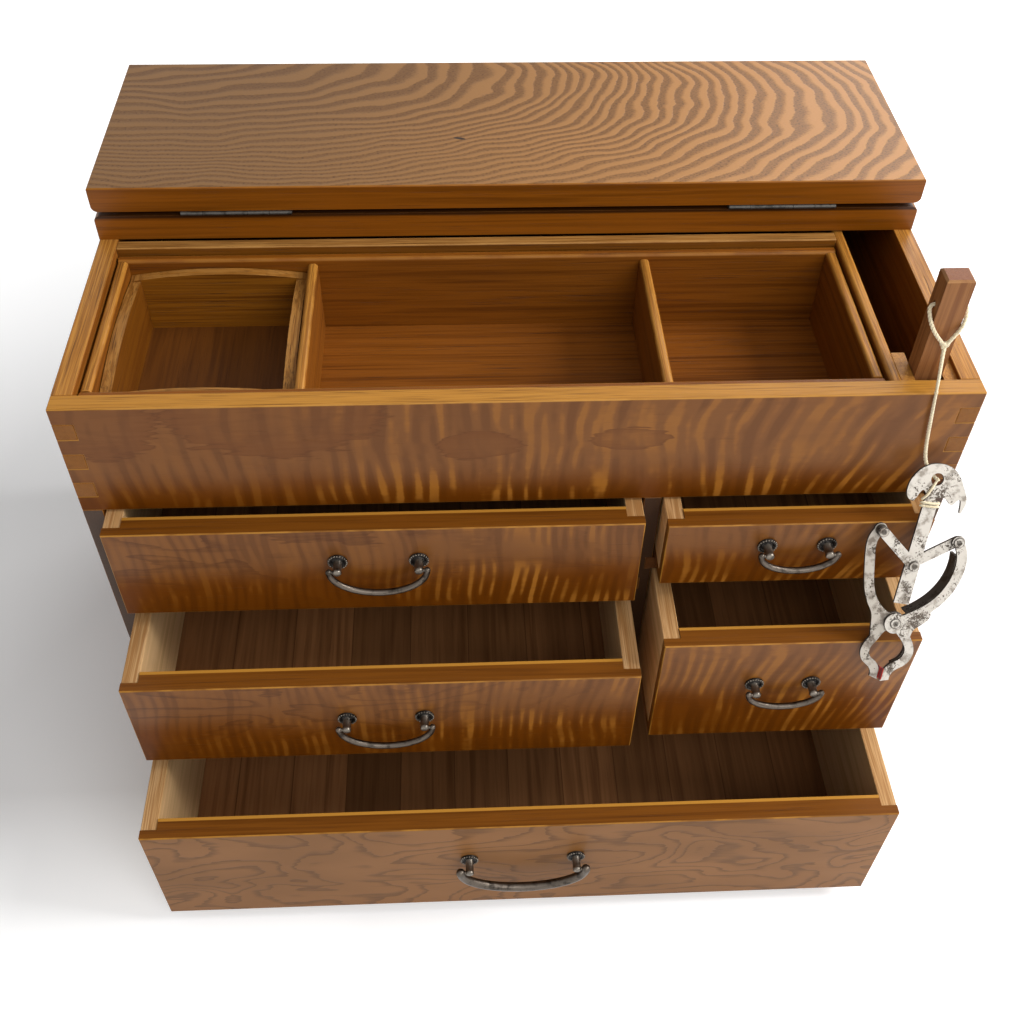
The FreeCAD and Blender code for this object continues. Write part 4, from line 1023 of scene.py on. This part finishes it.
def rod(name: str, points: Sequence[Vector], radii: Sequence[float], order: int = 4, sides: int = 3) -> Object:
    """Round bar along a smooth line, as a mesh.

    Args:
        name: Name of the bar.
        points: Points that guide the line.
        radii: Radius of the bar at each point, in metres.
        order: Order of the line.
        sides: Fineness of the bar's roundness.

    Returns:
        The bar.
    """
    bpy.ops.object.select_all(action="DESELECT")
    bpy.ops.curve.primitive_nurbs_path_add()
    piece = bpy.context.object
    curve = piece.data
    curve.splines.clear()
    line = curve.splines.new("NURBS")
    line.points.add(len(points) - 1)
    for spot, point, radius in zip(line.points, points, radii):
        spot.co = (*point, 1.0)
        spot.radius = radius / MM
    line.order_u = order
    line.use_endpoint_u = True
    line.resolution_u = 6
    curve.dimensions = "3D"
    curve.bevel_depth = MM
    curve.bevel_resolution = sides
    curve.use_fill_caps = True
    piece.location = (0.0, 0.0, 0.0)
    choose(piece)
    bpy.ops.object.convert(target="MESH")
    piece = settled(bpy.context.object, name)
    bpy.ops.object.shade_smooth_by_angle(angle=math.radians(50))
    return piece


def inside(node: str) -> tuple[Vector, Vector]:
    """Corners of a CAD node."""
    low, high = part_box(node)
    return low, high


@dataclass
class Studio:
    """Floor, light and camera, as the photograph was taken.

    Attributes:
        eye: Place of the camera, in millimetres.
        azimuth: Turn of the view to the side, in degrees.
        elevation: Height of the view, in degrees.
        roll: Roll of the camera, in degrees.
        lens: Length of its lens, in millimetres.
        sensor: Width of its sensor, in millimetres.
        fill: Strength of the even light on the cabinet.
        glow: White added to the floor near the cabinet, for rays that see it.
        far: Distances from the middle between which the floor turns white, in metres.
        near: Places along Y between which it brightens in front of the cabinet, in metres.
        near_glow: How much it brightens there.
    """

    eye: Triple = (-27.80, -488.78, 628.45)
    azimuth: float = -3.69
    elevation: float = 47.69
    roll: float = 1.44
    lens: float = 41.87
    sensor: float = 36.0
    fill: float = 0.26
    glow: float = 0.07
    far: tuple[float, float] = (0.38, 1.1)
    near: tuple[float, float] = (-0.13, -0.24)
    near_glow: float = 0.42

    def camera(self) -> None:
        """Place the camera."""
        data = bpy.data.cameras.new("photo_camera")
        data.lens = self.lens
        data.sensor_width = self.sensor
        data.clip_start = 0.02
        camera = bpy.data.objects.new("photo_camera", data)
        bpy.context.scene.collection.objects.link(camera)
        azimuth, elevation, roll = map(math.radians, (self.azimuth, self.elevation, self.roll))
        flat = math.cos(elevation)
        back = Vector((math.sin(azimuth) * flat, -math.cos(azimuth) * flat, math.sin(elevation)))
        right = (-back).cross(Vector((0.0, 0.0, 1.0))).normalized()
        up = right.cross(-back)
        c, s = math.cos(roll), math.sin(roll)
        right, up = right * c + up * s, up * c - right * s
        turn = Matrix((right, up, back)).transposed().to_4x4()
        camera.matrix_world = Matrix.Translation(Vector(self.eye) * MM) @ turn
        bpy.context.scene.camera = camera

    def lamp(self, name: str, place: Triple, aim: Triple, size: float, power: float) -> None:
        """Add a soft lamp.

        Args:
            name: Name of the lamp.
            place: Where it hangs, in metres.
            aim: Where it points.
            size: Side of its square, in metres.
            power: Its power in watts.
        """
        data = bpy.data.lights.new(name, "AREA")
        data.shape = "SQUARE"
        data.size = size
        data.energy = power
        lamp = bpy.data.objects.new(name, data)
        bpy.context.scene.collection.objects.link(lamp)
        lamp.location = place
        lamp.rotation_mode = "QUATERNION"
        lamp.rotation_quaternion = (Vector(aim) - Vector(place)).to_track_quat("-Z", "Y")

    @staticmethod
    def seen(tree: Tree) -> Socket:
        """Mask of the rays that see the backdrop itself.

        Args:
            tree: Nodes of the backdrop.

        Returns:
            1 for rays from the camera, from gloss and through glass.
        """
        path = made(tree, "ShaderNodeLightPath", {})
        result = path.outputs["Is Camera Ray"]
        for name in ("Is Glossy Ray", "Is Transmission Ray"):
            inputs = {0: result, 1: path.outputs[name]}
            result = made(tree, "ShaderNodeMath", inputs, operation="MAXIMUM").outputs[0]
        return result

    def world(self) -> None:
        """Even white light all round."""
        world = bpy.data.worlds.new("studio")
        bpy.context.scene.world = world
        world.use_nodes = True
        tree = world.node_tree
        tree.nodes.clear()
        mix = made(tree, "ShaderNodeMixShader", {0: self.seen(tree)})
        for index, strength in ((1, self.fill), (2, 1.0)):
            light = made(tree, "ShaderNodeBackground", {"Color": (1.0, 1.0, 1.0, 1.0), "Strength": strength})
            feed(tree, mix.inputs[index], light.outputs[0])
        made(tree, "ShaderNodeOutputWorld", {"Surface": mix.outputs[0]})

    def floor(self) -> None:
        """Plain pale floor that keeps the cabinet's shadow and is white further away."""
        bpy.ops.object.select_all(action="DESELECT")
        bpy.ops.mesh.primitive_plane_add(size=12.0, location=(0.0, 0.0, -0.0003))
        piece = settled(bpy.context.object, "studio_floor")
        material = bpy.data.materials.new("studio_floor")
        material.use_nodes = True
        tree = material.node_tree
        tree.nodes.clear()
        place = made(tree, "ShaderNodeTexCoord", {}).outputs["Object"]
        far = made(tree, "ShaderNodeVectorMath", {0: place}, operation="LENGTH").outputs["Value"]
        across = made(tree, "ShaderNodeSeparateXYZ", {0: place}).outputs["Y"]
        white = made(tree, "ShaderNodeMapRange", dict(enumerate((far, *self.far, self.glow, 1.0))))
        near = made(tree, "ShaderNodeMapRange", dict(enumerate((across, *self.near, 0.0, self.near_glow))))
        lift = made(tree, "ShaderNodeMath", {0: white.outputs["Result"], 1: near.outputs["Result"]})
        share = made(tree, "ShaderNodeMath", {0: self.seen(tree), 1: lift.outputs[0]}, operation="MULTIPLY")
        light = made(tree, "ShaderNodeEmission", {"Strength": share.outputs[0]})
        matt = made(tree, "ShaderNodeBsdfDiffuse", {"Color": (0.9, 0.9, 0.9, 1.0)})
        both = made(tree, "ShaderNodeAddShader", {0: matt.outputs[0], 1: light.outputs[0]})
        made(tree, "ShaderNodeOutputMaterial", {"Surface": both.outputs[0]})
        cover(piece, material)

    def build(self) -> None:
        """Set the stage."""
        bpy.context.scene.view_settings.view_transform = "Standard"
        self.camera()
        self.world()
        self.lamp("key", (1.35, -0.1, 1.15), (0.0, 0.0, 0.2), 0.8, 29.0)
        self.lamp("window", (0.75, 1.0, 0.95), (0.1, 0.05, 0.3), 0.7, 7.0)
        self.lamp("side", (0.4, -1.25, 1.25), (0.0, -0.1, 0.15), 1.2, 13.5)
        self.floor()


@dataclass
class Case:
    """Case, upper compartment, fixed top and lid.

    Attributes:
        edge: Width of the boards' eased edges, in metres.
    """

    edge: float = 0.00045

    def build(self) -> None:
        """Dress the boards of the case."""
        boards = [
            ("left_side", CASE_OAK, Run.DEEP), ("right_side", CASE_OAK, Run.DEEP),
            ("bottom_board", CASE_OAK, Run.ACROSS), ("lower_shelf", INSIDE_WOOD, Run.ACROSS),
            ("column_divider", INSIDE_WOOD, Run.DEEP), ("tray_stop_rail", RAIL_OAK, Run.ACROSS),
            ("slot_partition", TRAY_OAK, Run.DEEP), ("post_cheeks", TRAY_OAK, Run.UPRIGHT),
        ]
        for node, wood, run in boards:
            wood.dress(softened(node, self.edge), run)
            LOG.info("case board %s", node)
        for node in ("back_panel", "row_shelves", "upper_floor"):
            INSIDE_WOOD.dress(frame["nodes"][node], Run.ACROSS)
        islands = ((-106.0, 287.0, 46.0, 25.0), (-178.0, 284.0, 24.0, 22.0), (-19.0, 266.5, 18.0, 8.5),
                   (46.0, 269.0, 18.0, 6.5))
        panel = ShowFace(Figure.CURL, (0.0, -1.0, 0.0), rings=0.12, islands=islands, fade=(-120.0, -50.0),
                         sheen_line=0.24, spacing=7.2)
        EDGE_OAK.dress(softened("upper_front_panel", self.edge), Run.ACROSS, panel)
        TOP_OAK.dress(softened("rear_top", self.edge), Run.ACROSS)
        arches = ShowFace(Figure.CATHEDRAL, (0.0, 0.0, 1.0))
        TOP_OAK.dress(softened("lid", self.edge), Run.ACROSS, arches)
        for node in ("hinge_fixed_leaves", "hinge_lid_leaves", "hinge_pins", "hinge_fixed_screws",
                     "hinge_lid_screws", "post_pivot_pin"):
            HINGE_STEEL.dress(frame["nodes"][node])
        LOG.info("panel, tops and hinges")


@dataclass
class Tray:
    """Lift-out tray and pin box.

    Attributes:
        edge: Width of the eased edges, in metres.
        pin_wall: Thickness of the pin box's walls, in millimetres.
    """

    edge: float = 0.0005
    pin_wall: float = 5.0

    def build(self) -> None:
        """Dress the tray and the pin box."""
        walls = [("tray_long_walls", WALL_OAK, Run.ACROSS), ("tray_end_walls", TRAY_OAK, Run.DEEP),
                 ("tray_dividers", TRAY_OAK, Run.DEEP)]
        for node, wood, run in walls:
            wood.dress(softened(node, self.edge), run)
        PIN_OAK.dress(frame["nodes"]["pin_box_walls"], Run.ACROSS, returns=self.pin_wall)
        FLOOR_OAK.dress(frame["nodes"]["tray_bottom"], Run.ACROSS)
        # The pin box's bottom takes the darker inside wood, a painted shade in the deep box.
        INSIDE_WOOD.dress(frame["nodes"]["pin_box_bottom"], Run.DEEP)
        LOG.info("tray and pin box")


@dataclass
class Drawer:
    """One drawer with its drop handle.

    Attributes:
        name: Name of its body.
        figure: Figure of its front.
        shift: Shift of the figure, in millimetres.
        rod: Radius of the handle's bar in the middle, in metres.
        side: Thickness of its sides and back.
        back_drop: How far its back lies below its sides.
        edge: Width of its eased edges.
        lip: Depth of the bare strip behind its front's top edge, in millimetres.
        rosette: Radius of a rosette.
        post: Radius of a handle post.
        pin: Radius of the handle's pins.
        nut: Thickness of a nut.
        beads: Beads round a rosette.
        taper: Radius of the bar's ends, as a share of its middle.
        bends: Steps of the bar's line.
        rings: Strength of the ring lines on its front.
        fade: Places along X between which the streaks of its front fade in, in millimetres.
        DISH: Radius of each ring of a rosette, as a share of the whole, and its reach in metres.
        NUT: Radius of each ring of a nut and its reach, in metres.
    """

    name: str
    figure: Figure
    shift: Triple
    rod: float
    side: float = 0.008
    back_drop: float = 0.0065
    edge: float = 0.0005
    lip: float = 1.5
    rosette: float = 0.0047
    post: float = 0.0020
    pin: float = 0.0009
    nut: float = 0.0016
    beads: int = 20
    taper: float = 0.95
    bends: int = 16
    rings: float = 0.2
    fade: tuple[float, float] = (-200.0, -190.0)

    DISH = ((0.90, 0.0), (0.96, 0.0004), (0.92, 0.0010), (0.72, 0.0013), (0.56, 0.0009), (0.46, 0.0012),
            (0.40, 0.0016))
    NUT = ((0.0032, 0.0), (0.0034, 0.0003), (0.0034, 0.0013), (0.0032, 0.0016))

    def build(self) -> None:
        """Build and dress the drawer."""
        face = ShowFace(self.figure, (0.0, -1.0, 0.0), self.shift, self.lip, self.rings, fade=self.fade)
        FRONT_OAK.dress(softened(f"{self.name}_front", 0.0004), Run.ACROSS, face)
        self.carcass()
        PLANK_WOOD.dress(frame["nodes"][f"{self.name}_bottom"], Run.DEEP)
        self.mounts()
        self.bail()
        LOG.info("%s", self.name)

    def carcass(self) -> None:
        """Sides and back."""
        node = f"{self.name}_box"
        low, high = inside(node)
        left, right, back_y = low.x + self.side, high.x - self.side, high.y - self.side
        parts = [
            beam("left", low, (left, high.y, high.z), self.edge),
            beam("right", (right, low.y, low.z), high, self.edge),
            beam("back", (left, back_y, low.z), (right, high.y, high.z - self.back_drop), self.edge),
        ]
        piece = united(parts, f"{self.name}_sides_and_back")
        PALE_WOOD.dress(piece, Run.DEEP)
        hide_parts(node)
        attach(piece, self.name)

    def centres(self) -> list[Vector]:
        """Middles of the two rosettes on the front's face."""
        low, high = inside(f"{self.name}_handle_posts")
        face_y = inside(f"{self.name}_front")[0].y
        z = (low.z + high.z) / 2
        return [Vector((low.x + self.rosette, face_y, z)), Vector((high.x - self.rosette, face_y, z))]

    def reach(self) -> float:
        """How far the handle's pins stand in front of the front's face."""
        low, high = inside(f"{self.name}_handle")
        return inside(f"{self.name}_front")[0].y - (low.y + high.y) / 2

    def mount(self, centre: Vector) -> tuple[list[Object], list[Object]]:
        """One rosette with its beads, post and nut.

        Args:
            centre: Middle of the rosette on the front's face.

        Returns:
            Its dark parts, and its bright ones.
        """
        r, p, reach = self.rosette, self.post, self.reach()
        dish = turned("dish", centre, [(r * share, far) for share, far in self.DISH])
        foot = [(p * 1.1, 0.0010), (p * 1.15, 0.0019), (p, 0.0025)]
        head = [(p, reach + p * 0.3), (p * 1.1, reach + p * 0.6), (p * 0.9, reach + p),
                (p * 0.5, reach + p * 1.12)]
        column = turned("column", centre, foot + head, 24)
        bpy.ops.object.select_all(action="DESELECT")
        bpy.ops.mesh.primitive_ico_sphere_add(subdivisions=2, radius=r * 0.105,
                                              location=centre + Vector((r * 0.89, -0.0011, 0.0)))
        bead = settled(bpy.context.object, "bead")
        bpy.ops.object.shade_smooth()
        ring = [bead]
        for i in range(1, self.beads):
            turn = Matrix.Rotation(2 * math.pi * i / self.beads, 4, "Y")
            ring.append(copied(bead, Matrix.Translation(centre) @ turn @ Matrix.Translation(-centre)))
        low, high = inside(f"{self.name}_front")
        shank = centre + Vector((0.0, high.y - low.y + self.nut, 0.0))
        nut = turned("nut", shank, self.NUT, 6)
        return [dish, nut], [column, *ring]

    def mounts(self) -> None:
        """Both rosettes, the dark parts as one piece and the bright ones as another."""
        pairs = [self.mount(centre) for centre in self.centres()]
        rosettes = united([part for dark, _ in pairs for part in dark], f"{self.name}_rosettes")
        studs = united([part for _, bright in pairs for part in bright], f"{self.name}_studs")
        DARK_PEWTER.dress(rosettes)
        BRIGHT_PEWTER.dress(studs)
        for piece in (rosettes, studs):
            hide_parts(f"{self.name}_handle_posts")
            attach(piece, self.name)

    def bail(self) -> None:
        """Drop handle, thicker in the middle than at its ends."""
        node = f"{self.name}_handle"
        low, high = inside(node)
        middle_x = (low.x + high.x) / 2
        half = (high.x - low.x) / 2 - self.rod
        top = self.centres()[0].z
        drop = top - low.z - self.rod
        y = (low.y + high.y) / 2
        points, radii = [], []
        for i in range(self.bends + 1):
            t = math.pi * i / self.bends
            points.append(Vector((middle_x + half * math.cos(t), y, top - drop * math.sin(t))))
            radii.append(self.rod * (self.taper + (1.0 - self.taper) * math.sin(t) ** 2))
        bar = rod("bar", points, radii, 3, 4)
        parts = [bar]
        for side in (-1, 1):
            bpy.ops.object.select_all(action="DESELECT")
            bpy.ops.mesh.primitive_uv_sphere_add(segments=18, ring_count=10, radius=self.rod * 0.94,
                                                 location=(middle_x + side * half, y, top))
            ball = settled(bpy.context.object, "ball")
            bpy.ops.object.shade_smooth()
            pin_x = middle_x + side * (half - self.rod * 1.2)
            pin = rod("pin", [Vector((middle_x + side * half, y, top)), Vector((pin_x, y, top)),
                              Vector((pin_x - side * 0.002, y, top))], [self.pin] * 3, 3)
            parts += [ball, pin]
        piece = united(parts, f"{self.name}_bail")
        PEWTER.dress(piece)
        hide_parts(node)
        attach(piece, self.name.replace("_drawer", "_handle"))


@dataclass
class Clamp:
    """Cloth clamp that hangs from the cord.

    Attributes:
        edge: Width of the eased edges, in metres.
        plate: Thickness of its plates, in millimetres.
        lining: Width, length and depth of a jaw lining, in metres.
        lining_u: Middle of a lining to the side of the bar, in millimetres.
        lining_v: Middle of a lining below the pivot, in millimetres.
        neck: Height of the cord's first turn round the neck, in millimetres.
        pitch: Rise of one turn, in millimetres.
        turns: Turns of cord.
        corners: Steps of one turn.
        bar_n: Middle of the bar's plate in front of the drawers, in millimetres.
        wrap_u: Half width of a turn, in millimetres.
        wrap_n: Half depth of a turn, in millimetres.
        cord: Radius of the cord's end, in metres.
        lean: Lean of the clamp against the drawers, in degrees.
        roll: Turn of the clamp in its own plane, in degrees.
        pivot_x: Place of the pivot along X, in millimetres.
        pivot_drop: Way of the pivot below the upper drawer's edge, in millimetres.
        rivets: Places of the rivets in the clamp's plane, in millimetres.
        strand: Points of the cord from the head's hole to the neck: aside, up and in front of the bar.
    """

    edge: float = 0.00035
    plate: float = 1.4
    lining: Triple = (0.00055, 0.0056, 0.0026)
    lining_u: float = 0.42
    lining_v: float = -25.6
    neck: float = 57.0
    pitch: float = 1.5
    turns: int = 2
    corners: int = 12
    bar_n: float = 3.4
    wrap_u: float = 4.2
    wrap_n: float = 1.4
    cord: float = 0.0006
    lean: float = 30.377
    roll: float = 10.7
    pivot_x: float = 171.4
    pivot_drop: float = 48.0
    rivets: tuple[tuple[float, float], ...] = ((0.0, 0.0), (0.0, 29.0), (18.2, 42.8), (-18.2, 42.8))
    strand: tuple[Triple, ...] = ((0.3, 69.6, 0.0), (-0.9, 68.0, 1.3), (-2.0, 64.8, 1.4), (-3.2, 61.9, 1.4))

    def spot(self, u: float, v: float, n: float) -> Vector:
        """Point of the clamp's own plane.

        Args:
            u: To the right of the bar, in millimetres.
            v: Up from the pivot.
            n: In front of the drawers.

        Returns:
            The point in the cabinet's frame, in metres.
        """
        lean = math.radians(self.lean)
        roll = math.radians(self.roll)
        front = Vector((0.0, -math.cos(lean), math.sin(lean)))
        down = Vector((0.0, -math.sin(lean), -math.cos(lean)))
        up = Vector((1.0, 0.0, 0.0)) * math.sin(roll) - down * math.cos(roll)
        right = up.cross(front)
        low, high = inside("top_right_drawer_front")
        pivot = Vector((self.pivot_x * MM, low.y, high.z)) + down * self.pivot_drop * MM
        return pivot + (right * u + up * v + front * n) * MM

    def build(self) -> None:
        """Build and dress the clamp."""
        front = (self.spot(0.0, 0.0, 1.0) - self.spot(0.0, 0.0, 0.0)).normalized()
        rivets = [self.spot(u, v, 0.0) / MM for u, v in self.rivets]
        for node in ("clamp_bar", "clamp_left_arm", "clamp_right_arm", "clamp_left_link", "clamp_right_link",
                     "clamp_pivot_rivet"):
            metal = DULL_NICKEL if node == "clamp_left_arm" else NICKEL
            metal.dress(softened(node, self.edge), front, rivets)
            LOG.info("%s", node)
        self.linings()
        self.wrap()

    def linings(self) -> None:
        """Red linings on the inner sides of the jaw tips."""
        for side, layer in (("left", 1.0), ("right", 2.7)):
            sign = -1 if side == "left" else 1
            bpy.ops.object.select_all(action="DESELECT")
            bpy.ops.mesh.primitive_cube_add(size=1.0)
            piece = bpy.context.object
            piece.scale = Vector(self.lining)
            settled(piece, f"clamp_{side}_lining")
            eased(piece, 0.0001)
            here = self.spot(sign * self.lining_u, self.lining_v, layer + self.plate / 2)
            axes = [self.spot(*axis) - self.spot(0.0, 0.0, 0.0) for axis in ((1, 0, 0), (0, 1, 0), (0, 0, 1))]
            turn = Matrix([axis.normalized() for axis in axes]).transposed().to_4x4()
            piece.matrix_world = Matrix.Translation(here) @ turn
            settled(piece, piece.name)
            RED_FELT.dress(piece)
            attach(piece, f"clamp_{side}_arm")
            LOG.info("%s", piece.name)

    def wrap(self) -> None:
        """End of the cord, out of the head's hole and round the neck of the bar."""
        points = [self.spot(u, v, self.bar_n + n) for u, v, n in self.strand]
        top = self.neck + self.pitch * self.turns
        for i in range(self.turns * self.corners + self.corners // 4):
            t = math.pi + 2 * math.pi * i / self.corners
            height = top - self.pitch * i / self.corners
            depth = self.bar_n + self.wrap_n * math.sin(t)
            points.append(self.spot(self.wrap_u * math.cos(t), height, depth))
        piece = rod("cord_round_neck", points, [self.cord] * len(points), 3, 2)
        COTTON.dress(piece)
        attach(piece, "clamp")
        LOG.info("%s", piece.name)


@dataclass
class Post:
    """Folding post that carries the cord.

    Attributes:
        edge: Width of its eased edges, in metres.
    """

    edge: float = 0.0007

    def build(self) -> None:
        """Dress the post."""
        POST_WOOD.dress(softened("post", self.edge), Run.UPRIGHT)
        LOG.info("post")


@dataclass
class Cord:
    """Cotton cord from the post to the clamp.

    Attributes:
        radius: Radius of the cord, in metres.
        strand: Radius of one of its strands.
        lay: Length of one turn of the strands.
        knot_strand: Radius of the cord in the knot.
        knot_size: Size of the knot, in millimetres.
        knot_steps: Steps of the knot's line.
        UPPER: Route from the loop's knot round the post to the panel's edge, in millimetres.
        LOWER: Route from the panel's edge to the clamp's head.
        KNOT: Middle of the knot.
    """

    radius: float = 0.0009
    strand: float = 0.00050
    lay: float = 0.0050
    knot_strand: float = 0.00072
    knot_size: float = 0.52
    knot_steps: int = 24

    UPPER = (
        (174.9, -110.3, 310.9), (172.3, -110.0, 313.6), (169.1, -108.6, 318.0), (167.8, -105.6, 322.0),
        (167.8, -103.2, 324.6), (170.0, -102.5, 325.5), (175.7, -102.5, 325.6), (181.4, -102.5, 325.5),
        (183.6, -103.2, 324.6), (183.6, -105.6, 322.0), (182.3, -108.6, 318.0), (179.1, -110.0, 313.6),
        (177.5, -110.3, 310.9), (176.2, -110.8, 308.6), (175.1, -116.4, 302.0), (173.8, -122.4, 294.0),
    )
    LOWER = (
        (173.8, -122.4, 294.0), (175.0, -122.9, 283.0), (176.3, -123.3, 272.0), (178.0, -123.6, 260.5),
        (179.5, -124.9, 254.3), (182.0, -127.4, 250.6), (183.9, -129.7, 249.5), (184.5, -131.8, 250.0),
    )
    KNOT = (176.2, -110.4, 309.7)

    @staticmethod
    def line(route: Sequence[Triple]) -> list[Vector]:
        """Smooth line guided by a route.

        Args:
            route: Points of the route, in millimetres.

        Returns:
            Points read from the line, in metres.
        """
        curve = bpy.data.curves.new("route", "CURVE")
        curve.dimensions = "3D"
        spline = curve.splines.new("NURBS")
        spline.points.add(len(route) - 1)
        for spot, point in zip(spline.points, route):
            spot.co = (*(Vector(point) * MM), 1.0)
        spline.order_u = 3
        spline.use_endpoint_u = True
        spline.resolution_u = 10
        holder = bpy.data.objects.new("route", curve)
        bpy.context.scene.collection.objects.link(holder)
        bpy.context.view_layer.update()
        mesh = bpy.data.meshes.new_from_object(holder)
        points = [v.co.copy() for v in mesh.vertices]
        bpy.data.objects.remove(holder)
        bpy.data.meshes.remove(mesh)
        return points

    def twisted(self, name: str, points: Sequence[Vector], strands: int = 3) -> Object:
        """Strands twisted round a line.

        Args:
            name: Name of the cord.
            points: Points of the line.
            strands: Number of strands.

        Returns:
            The cord.
        """
        across = Vector((0.0, 0.0, 1.0)).cross(points[1] - points[0]).normalized()
        run = 0.0
        frames = []
        for i, point in enumerate(points):
            ahead = points[min(i + 1, len(points) - 1)] - points[max(i - 1, 0)]
            ahead.normalize()
            across = (across - ahead * across.dot(ahead)).normalized()
            if i:
                run += (point - points[i - 1]).length
            frames.append((point, across.copy(), ahead.cross(across), 2 * math.pi * run / self.lay))
        parts = []
        offset = self.radius - self.strand
        for k in range(strands):
            phase = 2 * math.pi * k / strands
            path = [p + (a * math.cos(t + phase) + b * math.sin(t + phase)) * offset for p, a, b, t in frames]
            parts.append(rod("strand", path, [self.strand] * len(path), 3, 2))
        return united(parts, name)

    def build(self) -> None:
        """Build and dress both stretches and the knot, and hang the knot and the lower stretch on their bodies.
        """
        upper_line = self.line(self.UPPER)
        upper = self.twisted("cord_over_post", upper_line)
        lower_line = self.line(self.LOWER)
        lower = self.twisted("cord_to_clamp", lower_line)
        knot = self.knot()
        for piece in (upper, lower, knot):
            COTTON.dress(piece)
        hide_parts("cord_upper")
        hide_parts("cord_lower")
        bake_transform(upper)
        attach(knot, "post")
        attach(lower, "clamp")

    def knot(self) -> Object:
        """Overhand knot that closes the loop round the post."""
        points = []
        for i in range(self.knot_steps):
            t = 2 * math.pi * i / self.knot_steps
            bow = Vector((math.sin(t) + 2 * math.sin(2 * t), -0.8 * math.sin(3 * t),
                          math.cos(t) - 2 * math.cos(2 * t)))
            points.append(bow * self.knot_size * MM + Vector(self.KNOT) * MM)
        points += points[:2]
        return rod("cord_knot", points, [self.knot_strand] * len(points), 4, 2)


def main() -> None:
    """Build the cabinet, its light and its camera."""
    logging.basicConfig(level=logging.INFO, format="%(message)s")
    Studio().build()
    Cord().build()
    Case().build()
    Tray().build()
    for drawer in (
        Drawer("top_left_drawer", Figure.CURL, (37.0, 0.0, 210.0), 0.0016, rings=0.5, fade=(-60.0, 0.0)),
        Drawer("top_right_drawer", Figure.CURL, (-30.0, 0.0, 330.0), 0.0016, rings=0.2),
        Drawer("middle_left_drawer", Figure.CURL, (83.0, 0.0, 470.0), 0.0016, rings=0.55, fade=(-160.0, 60.0)),
        Drawer("middle_right_drawer", Figure.CURL, (-12.0, 0.0, 590.0), 0.0016, rings=0.35),
        Drawer("bottom_drawer", Figure.CONTOUR, (0.0, 0.0, 0.0), 0.0024, rings=0.66),
    ):
        drawer.build()
    Post().build()
    Clamp().build()


if __name__ == "__main__":
    main()
